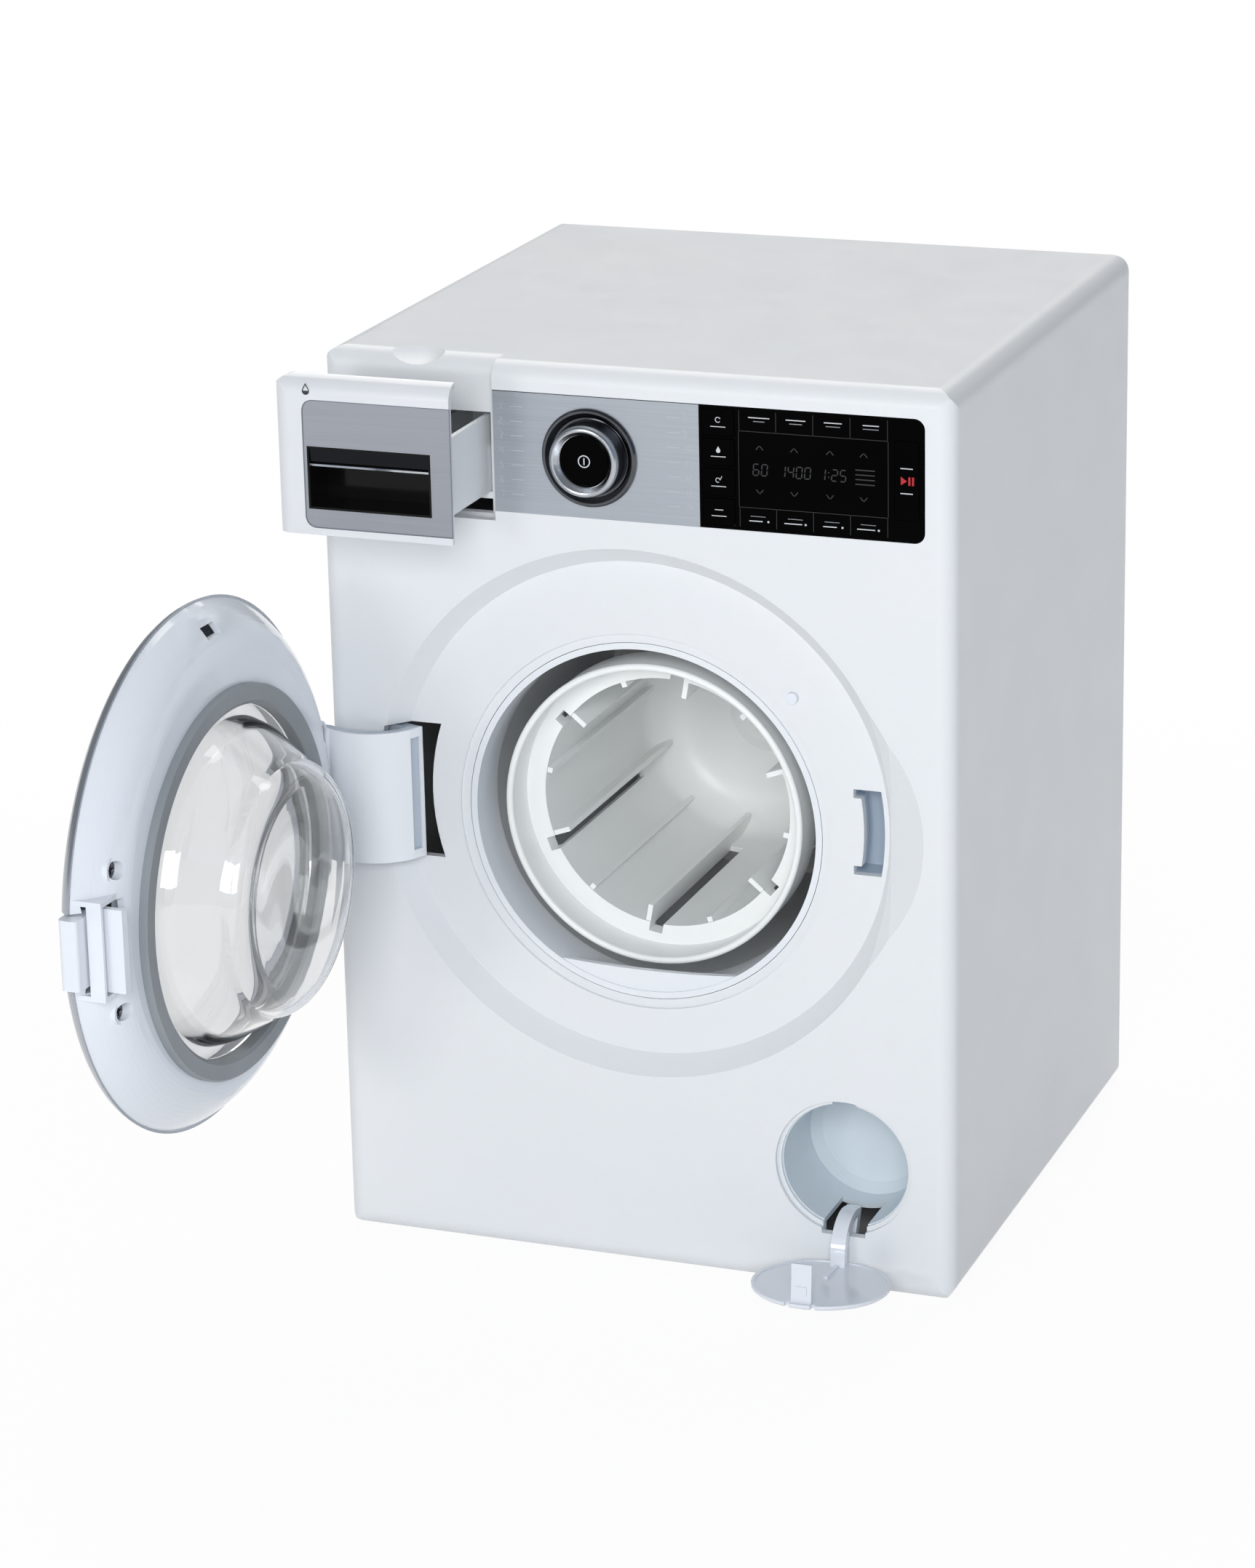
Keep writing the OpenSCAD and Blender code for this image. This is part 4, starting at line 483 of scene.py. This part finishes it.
def clear_bowl():
    """Bowl of even wall, as radius r and depth y: an end dished by sag (1 - (r / reach)^2)^2, a circle for the
    shoulder, a cone for the side, and a skirt with a flange in front of the mouth."""
    front, end = closed_depth("door_bowl")
    wall, mouth = 1.8, front + 6.0
    mouth_r, skirt_r, flange_r = 43.5, 43.1, 48.3
    narrowing, side_out, side_in = 8.4, 13.1, 13.0
    shoulder_r, shoulder = 28.6, 6.6
    sag, reach = 1.4, 27.0
    r = np.linspace(1.5, 26.0, 16)
    dish = sag * (1 - (r / reach) ** 2) ** 2
    # Shares of the side's length from the mouth, down to it outside and up from it inside
    out, back = np.linspace(0.88, 0.0, 9), np.linspace(0.12, 0.9, 8)
    profile = np.vstack([
        [(0, end - sag)],
        np.column_stack([r, end - dish]),
        arc(shoulder_r, end - shoulder, shoulder, 88, 10),
        np.column_stack([mouth_r - out * narrowing, mouth + out * side_out]),
        [(skirt_r + wall, front + wall), (flange_r, front + wall), (flange_r, front)],
        [(skirt_r, front), (mouth_r - wall, mouth - 0.1)],
        np.column_stack([mouth_r - wall - back * narrowing, mouth + back * side_in]),
        arc(shoulder_r - 0.2, end - shoulder - 0.2, shoulder + 0.2 - wall, 10, 88),
        np.column_stack([r, end - wall - dish])[::-1],
        [(0, end - wall - sag)]])
    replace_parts(turned("door_bowl_clear", profile, PORT_Z / MM, CLEAR_BOWL), "door_bowl")


def clear_window():
    """Outer window, flat behind and crowned in front: at radius r its face has the depth
    rear - thick + fall (r / crown_r)^2, as far as a step down to its rim."""
    rear = closed_depth("door_window")[1]
    thick, fall, crown_r = 3.5, 1.7, 53.8
    rim, rim_r, chamfer, inner_r = 1.6, 57.45, 0.15, 30.0
    r = np.linspace(2.0, crown_r, 24)
    profile = np.vstack([
        [(0, rear - thick)],
        np.column_stack([r, rear - thick + fall * (r / crown_r) ** 2]),
        [(crown_r + 0.3, rear - rim), (rim_r - chamfer, rear - rim), (rim_r, rear - rim + 0.2)],
        [(rim_r, rear - 0.1), (rim_r - chamfer, rear), (inner_r, rear), (0, rear)]])
    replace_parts(turned("door_window_clear", profile, DOOR_Z / MM, CLEAR_WINDOW), "door_window")


clear_bowl()
clear_window()


# ---------- printed marks and painted shadow lines ---

MARK_T = 0.06 * MM
# How far a mark and a fine line stand out from their surface
PROUD, LINE_PROUD = 0.5 * MARK_T, 0.3 * MARK_T


def flat_mark(name, outlines, y, material, body):
    """Flat mark, a print or a painted shadow line: a flat prism on each outline of X, Z corners, from its
    front at y to MARK_T behind it.
    """
    points, faces, start = [], [], 0
    for outline in outlines:
        x, z = np.asarray(outline, float).T
        if np.sum(x * np.roll(z, -1) - np.roll(x, -1) * z) < 0:
            x, z = x[::-1], z[::-1]
        front = np.column_stack([x, np.full(len(x), y), z])
        points += [front, front + (0, MARK_T, 0)]
        near = np.arange(start, start + len(x))
        far = near + len(x)
        faces += [near.tolist(), far[::-1].tolist()]
        faces += np.column_stack([near, far, np.roll(far, -1), np.roll(near, -1)]).tolist()
        start += 2 * len(x)
    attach(new_piece(name, np.concatenate(points).tolist(), faces, material), body)


def bar(x, z, w, h, slant=0.0):
    """Box outline centred on x, z, leaning by slant over its height."""
    return [(x - w / 2 - slant / 2, z - h / 2), (x + w / 2 - slant / 2, z - h / 2),
            (x + w / 2 + slant / 2, z + h / 2), (x - w / 2 + slant / 2, z + h / 2)]


def band(inner, outer):
    """Quads between two lines of as many points."""
    return list(np.stack([inner[:-1], outer[:-1], outer[1:], inner[1:]], axis=1))


def circle(x, z, radius, angle):
    """Points (x + radius cos a, z + radius sin a) at angles in degrees."""
    angle = np.radians(angle)
    return np.column_stack([x + radius * np.cos(angle), z + radius * np.sin(angle)])


def arc_band(x, z, radius, width, start, end, steps):
    """Quads of a circular band from one angle to the other, in degrees, with its middle at the radius."""
    angle = np.linspace(start, end, steps + 1)
    return band(circle(x, z, radius - width / 2, angle), circle(x, z, radius + width / 2, angle))


def dot(x, z, radius):
    """Small round dot."""
    return circle(x, z, radius, np.arange(12) * 30)


def drop(x, z, radius, share=1.0):
    """A drop: a circle of that radius under a point, cut off level above a share of its height."""
    belly = circle(x, z, radius, np.arange(150, 391, 12))
    if share < 1:
        return belly[belly[:, 1] <= z + radius * share]
    return np.vstack([belly, (x, z + 2.1 * radius)])


def edge_band(lo, hi, radius, width, gap, corners):
    """Quads of a band round the box from lo to hi in the X-Z plane. Its two edges are points at radius + gap,
    and that width further out, from each corner's centre over a quarter turn. A corner is round where corners
    holds 1 and square where it holds 0, anticlockwise from the upper right one."""
    inner, outer = [], []
    places = [(hi.x, hi.z, -1, -1), (lo.x, hi.z, 1, -1), (lo.x, lo.z, 1, 1), (hi.x, lo.z, -1, 1)]
    for quarter, (x, z, in_x, in_z) in enumerate(places):
        r = radius * corners[quarter]
        angle = np.linspace(0, 90, 9) + quarter * 90
        inner.append(circle(x + in_x * r, z + in_z * r, r + gap, angle))
        outer.append(circle(x + in_x * r, z + in_z * r, r + gap + width, angle))
    return band(np.vstack(inner + [inner[0][:1]]), np.vstack(outer + [outer[0][:1]]))


# The bars of each figure, named as on a seven-bar display, and their places: share of the width, share of the
# height, and 1 where the bar lies flat
SEGMENTS = {"0": "abcdef", "1": "bc", "2": "abged", "3": "abgcd", "4": "fgbc",
            "5": "afgcd", "6": "afgedc", "7": "abc", "8": "abcdefg", "9": "abfgcd"}
SEGMENT_PLACES = {"a": (0.5, 1, 1), "g": (0.5, 0.5, 1), "d": (0.5, 0, 1),
                  "f": (0, 0.75, 0), "b": (1, 0.75, 0), "e": (0, 0.25, 0), "c": (1, 0.25, 0)}


def digit_outlines(text, x, z, h):
    """Seven-bar figures h tall from x to the right, with their feet at z."""
    w, stroke, lean, space = h * 0.5, h * 0.1, h * 0.08, h * 0.26
    nip = stroke * 1.2
    made = []
    for letter in text:
        if letter == ":":
            made += [bar(x + stroke, z + h * share, stroke, stroke) for share in (0.3, 0.7)]
            x += stroke * 3.4
            continue
        for name in SEGMENTS[letter]:
            u, v, flat = SEGMENT_PLACES[name]
            size = (w - nip, stroke) if flat else (stroke, h / 2 - nip)
            made.append(bar(x + u * w + lean * v, z + v * h, *size, 0 if flat else lean / 2))
        x += w + space
    return made


def power_mark():
    """Ring with a bar through its top, on the middle of the dial."""
    x, z = middle(DIAL_LO, DIAL_HI)
    ring = arc_band(x, z, 1.6 * MM, 0.3 * MM, 0, 360, 48)
    flat_mark("power_mark", ring + [bar(x, z, 0.32 * MM, 1.9 * MM)], POWER_LO.y - PROUD, MARK_WHITE, "power")


def programme_marks():
    """Plain numbers, each beside a dash, in a column to either side of the dial."""
    rows, height, dash, fine = 7, 1.7 * MM, 3.6 * MM, 0.22 * MM
    left, right = PLATE_LO.x + 1.7 * MM, PLATE_HI.x - 9.8 * MM
    top, foot = PLATE_HI.z - 5.2 * MM, PLATE_LO.z + 4.3 * MM
    outlines = []
    for row, z in enumerate(np.linspace(top, foot, rows)):
        outlines += digit_outlines(str(row + 1), left, z, height)
        outlines.append(bar(left + 5.2 * MM, z + height / 2, dash, fine))
        outlines += digit_outlines(str(row + 1 + rows), right + 5.4 * MM, z, height)
        outlines.append(bar(right + 2.4 * MM, z + height / 2, dash, fine))
    flat_mark("programme_marks", outlines, PLATE_LO.y - PROUD, MARK_PALE, "cabinet_body")


def screen_marks():
    """Dim figures, arrows and four short lines on the screen, sunk a little behind the panel's face."""
    height, sunk, fine = 3.1 * MM, 0.25 * MM, 0.3 * MM
    x, z = SCREEN_LO.x + 3.2 * MM, middle(PANEL_LO, PANEL_HI)[1] - 1.6 * MM
    outlines = []
    for text, place in (("60", 0.0), ("1400", 7.4), ("1:25", 18.6)):
        outlines += digit_outlines(text, x + place * MM, z, height)
    for place in (1.9, 11.6, 21.6, 31.0):
        for side in (-1, 1):
            tip = z + height / 2 + side * 6.0 * MM
            outlines += [bar(x + (place + half * 0.55) * MM, tip, fine, 1.1 * MM, -half * side * 0.9 * MM)
                         for half in (-1, 1)]
    outlines += [bar(x + 31.4 * MM, z + (row * 1.3 - 0.4) * MM, 5.4 * MM, fine) for row in range(4)]
    flat_mark("screen_marks", outlines, PANEL_LO.y + sunk - PROUD, MARK_DIM, "cabinet_body")


def field_marks():
    """Fine lines and dots of the fixed fields above and below the screen."""
    bright, faint = [], []
    upper, lower = (17.0, 27.3, 37.7, 48.2), (16.5, 27.0, 37.3, 47.4)
    for index, place in enumerate(upper):
        x, z = PANEL_LO.x + place * MM, PANEL_HI.z - 3.3 * MM
        bright.append(bar(x, z + 0.5 * MM, (6.0 - index * 0.5) * MM, 0.26 * MM))
        faint.append(bar(x, z - 0.5 * MM, (3.2 + index * 0.4) * MM, 0.2 * MM))
    for index, place in enumerate(lower):
        x, z = PANEL_LO.x + place * MM, PANEL_LO.z + 2.9 * MM
        faint.append(bar(x, z + 1.2 * MM, 4.2 * MM, 0.16 * MM))
        bright.append(bar(x - 0.6 * MM, z - 0.1 * MM, (3.8 + (index % 2) * 1.2) * MM, 0.26 * MM))
        bright.append(dot(x + 2.9 * MM, z - 0.1 * MM, 0.3 * MM))
    flat_mark("field_marks", bright, PANEL_LO.y - PROUD, MARK_WHITE, "cabinet_body")
    flat_mark("field_lines", faint, PANEL_LO.y - PROUD, MARK_GREY, "cabinet_body")


def panel_lines():
    """Faint frame round the screen's window, and short upright lines between the fields over and under it."""
    wide, inset, end_gap = 0.16 * MM, 0.5 * MM, 1.0 * MM
    low_x, high_x = SCREEN_LO.x - inset, SCREEN_HI.x + inset
    low_z, high_z = SCREEN_LO.z + inset, SCREEN_HI.z - inset
    mid_x, mid_z = (low_x + high_x) / 2, (low_z + high_z) / 2
    lines = [bar(mid_x, z, high_x - low_x + 2 * wide, wide) for z in (low_z - wide, high_z + wide)]
    lines += [bar(x, mid_z, wide, high_z - low_z) for x in (low_x - wide, high_x + wide)]
    for start, end in ((high_z + 2 * wide, PANEL_HI.z - end_gap), (PANEL_LO.z + end_gap, low_z - 2 * wide)):
        lines += [bar(x, (start + end) / 2, wide, end - start) for x in np.linspace(low_x, high_x, 5)]
    flat_mark("panel_lines", lines, PANEL_LO.y - LINE_PROUD, MARK_FAINT, "cabinet_body")


def fascia_shadow_line():
    """Painted shadow: a dark line along the top of the silver plate, where it drops into the cabinet's recess.
    """
    line = bar(middle(PLATE_LO, PLATE_HI)[0], PLATE_HI.z - 0.15 * MM, PLATE_HI.x - PLATE_LO.x, 0.26 * MM)
    flat_mark("fascia_shadow_line", [line], PLATE_LO.y - LINE_PROUD, DARK_PRINT_AND_SHADOW, "cabinet_body")


def key_marks(number):
    """A small symbol on one option key: a ring, a drop, a flag or a bar, each over a short line."""
    lo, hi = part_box("option_key_%d" % number)
    x, z = middle(lo, hi)
    fine, fine_ring = 0.22 * MM, 0.2 * MM
    outlines = [bar(x, z - 1.2 * MM, 4.2 * MM, fine)]
    if number == 1:
        outlines += arc_band(x, z + 0.7 * MM, 0.7 * MM, fine_ring, 20, 320, 16)
    elif number == 2:
        outlines.append(drop(x, z + 0.4 * MM, 0.6 * MM))
    elif number == 3:
        outlines += arc_band(x - 0.2 * MM, z + 0.5 * MM, 0.6 * MM, fine_ring, 0, 300, 14)
        outlines.append(bar(x + 0.75 * MM, z + 1.2 * MM, fine_ring, 0.9 * MM, 0.4 * MM))
    else:
        outlines.append(bar(x, z + 0.5 * MM, 2.4 * MM, fine))
    flat_mark("key_mark_%d" % number, outlines, lo.y - PROUD, MARK_WHITE, "key_%d" % number)


def start_marks():
    """Red start and pause symbol with a short white line above and below."""
    x, z = middle(START_LO, START_HI)
    height = 2.3 * MM
    arrow = [(x - 1.6 * MM, z - height / 2), (x + 0.1 * MM, z), (x - 1.6 * MM, z + height / 2)]
    pause = [bar(x + place * MM, z, 0.55 * MM, height) for place in (0.75, 1.75)]
    lines = [bar(x, z + side * 3.4 * MM, 3.4 * MM, 0.28 * MM) for side in (-1, 1)]
    flat_mark("start_symbol", [arrow] + pause, START_LO.y - PROUD, MARK_RED, "start")
    flat_mark("start_lines", lines, START_LO.y - PROUD, MARK_WHITE, "start")


def drawer_marks():
    """A half filled drop at the upper left of the drawer, and a painted shadow line round its silver plate."""
    x, z = COVER_LO.x + 1.2 * MM, (COVER_HI.z + DRAWER_HI.z) / 2 - 0.7 * MM
    radius, hollow = 1.05 * MM, 0.78
    rim = drop(x, z, radius)
    rim = np.vstack([rim, rim[:1]])
    filling = drop(x, z, radius * 0.8, 0.2)
    ring = band((x, z) + (rim - (x, z)) * hollow, rim)
    flat_mark("drop_mark", ring + [filling], DRAWER_LO.y - PROUD, DARK_PRINT_AND_SHADOW, "drawer")
    shadow_band = edge_band(COVER_LO, COVER_HI, 3.0 * MM, 0.26 * MM, 0.02 * MM, (0, 1, 1, 0))
    flat_mark("drawer_shadow_line", shadow_band, DRAWER_LO.y - LINE_PROUD, SHADOW_LINE_GREY, "drawer")


power_mark()
programme_marks()
screen_marks()
field_marks()
panel_lines()
fascia_shadow_line()
for number in range(1, 5):
    key_marks(number)
start_marks()
drawer_marks()


# ---------- stage: floor, lights and camera ----------

FLOOR_HALF = 6.0
AIM = Vector((0, 0, 0.13))
# Each lamp's place, size, power in watts and colour; all face AIM, the middle of the cabinet
LAMPS = {
    "key": ((-1.40, -3.05, 1.45), (1.5, 1.3), 4.5, (1.0, 0.995, 0.985)),
    "window": ((-0.92, -3.20, 0.60), (0.55, 0.55), 10.0, (1.0, 0.995, 0.99)),
    "front": ((0.45, -1.62, 0.78), (0.7, 0.7), 15.0, (0.98, 0.99, 1.0)),
    "side": ((1.4, -0.9, 0.7), (1.2, 1.0), 0.6, (0.20, 0.46, 1.0)),
    "top": ((-0.35, 1.0, 1.55), (1.6, 1.6), 21.5, (1.0, 0.97, 0.925)),
}
# The camera's place, the azimuth, elevation and roll of its view, and its focal length in pixels for a frame
# whose longer side has so many
EYE = Vector((447.238, -1264.43, 560.016)) * MM
AZIMUTH, ELEVATION, ROLL = (math.radians(angle) for angle in (20.921, 18.314, -1.224))
FOCAL_PX, LONG_SIDE_PX, SENSOR = 6624.331, 2156.0, 36.0


def switch_shader(tree, share, first, second, kind):
    """Ends a tree in an output node of that kind, fed with the first shader where the share is 0 and with the
    second where it is 1."""
    mix = add_node(tree, "ShaderNodeMixShader")
    for socket, value in zip(mix.inputs, (share, first.outputs[0], second.outputs[0])):
        feed(tree, socket, value)
    feed(tree, add_node(tree, kind).inputs["Surface"], mix.outputs[0])


def backdrop_material():
    """Pale diffuse that the camera, mirrors and glass see lifted towards white, fully so from 0.6 m out."""
    material = bpy.data.materials.new("backdrop")
    material.use_nodes = True
    tree = material.node_tree
    tree.nodes.clear()
    diffuse = add_node(tree, "ShaderNodeBsdfDiffuse", Color=(0.9, 0.9, 0.9, 1))
    glow = add_node(tree, "ShaderNodeEmission", Color=(1, 1, 1, 1), Strength=1.0)
    path = add_node(tree, "ShaderNodeLightPath").outputs
    seen = math_node(tree, "MAXIMUM", path["Is Camera Ray"],
                     math_node(tree, "MAXIMUM", path["Is Glossy Ray"], path["Is Transmission Ray"]))
    far = add_node(tree, "ShaderNodeVectorMath", operation="LENGTH")
    feed(tree, far.inputs[0], object_place(tree))
    lift = between(tree, far.outputs["Value"], 0.2, 0.6, 0.94, 1.0)
    switch_shader(tree, math_node(tree, "MULTIPLY", seen, lift), diffuse, glow, "ShaderNodeOutputMaterial")
    return material


def floor():
    """Wide square floor under the cabinet."""
    half = FLOOR_HALF
    corners = [(-half, -half, 0), (half, -half, 0), (half, half, 0), (-half, half, 0)]
    new_piece("floor", corners, [(0, 1, 2, 3)], backdrop_material())


def world():
    """Soft cool light from all round, which the camera and glass see as white."""
    made = bpy.data.worlds.new("studio")
    made.use_nodes = True
    tree = made.node_tree
    tree.nodes.clear()
    soft = add_node(tree, "ShaderNodeBackground", Color=(0.88, 0.94, 1.0, 1), Strength=0.27)
    white = add_node(tree, "ShaderNodeBackground", Color=(1, 1, 1, 1), Strength=1.0)
    path = add_node(tree, "ShaderNodeLightPath").outputs
    seen = math_node(tree, "MAXIMUM", path["Is Camera Ray"], path["Is Transmission Ray"])
    switch_shader(tree, seen, soft, white, "ShaderNodeOutputWorld")
    bpy.context.scene.world = made


def lamp(name, place, size, power, colour):
    """Rectangular lamp that faces the cabinet's middle."""
    data = bpy.data.lights.new(name, "AREA")
    data.shape, data.size, data.size_y = "RECTANGLE", *size
    data.energy, data.color = power, colour
    turn = (AIM - Vector(place)).to_track_quat("-Z", "Y").to_matrix().to_4x4()
    made = bpy.data.objects.new(name, data)
    made.matrix_world = Matrix.Translation(place) @ turn
    bpy.context.scene.collection.objects.link(made)


def camera():
    """Camera at EYE: its back points along the azimuth and elevation, and it rolls about that line."""
    back = Vector((math.sin(AZIMUTH) * math.cos(ELEVATION), -math.cos(AZIMUTH) * math.cos(ELEVATION),
                   math.sin(ELEVATION)))
    level = Vector((0, 0, 1)).cross(back).normalized()
    up = back.cross(level)
    right = math.cos(ROLL) * level + math.sin(ROLL) * up
    up = -math.sin(ROLL) * level + math.cos(ROLL) * up
    data = bpy.data.cameras.new("camera")
    data.sensor_fit, data.sensor_width, data.sensor_height = "AUTO", SENSOR, SENSOR
    data.lens = FOCAL_PX / LONG_SIDE_PX * SENSOR
    data.clip_start, data.clip_end = 0.01, 50.0
    made = bpy.data.objects.new("camera", data)
    made.matrix_world = Matrix.Translation(EYE) @ Matrix((right, up, back)).transposed().to_4x4()
    bpy.context.scene.collection.objects.link(made)
    bpy.context.scene.camera = made


floor()
world()
for name, values in LAMPS.items():
    lamp(name, *values)
camera()
bpy.context.scene.view_settings.view_transform = "Standard"
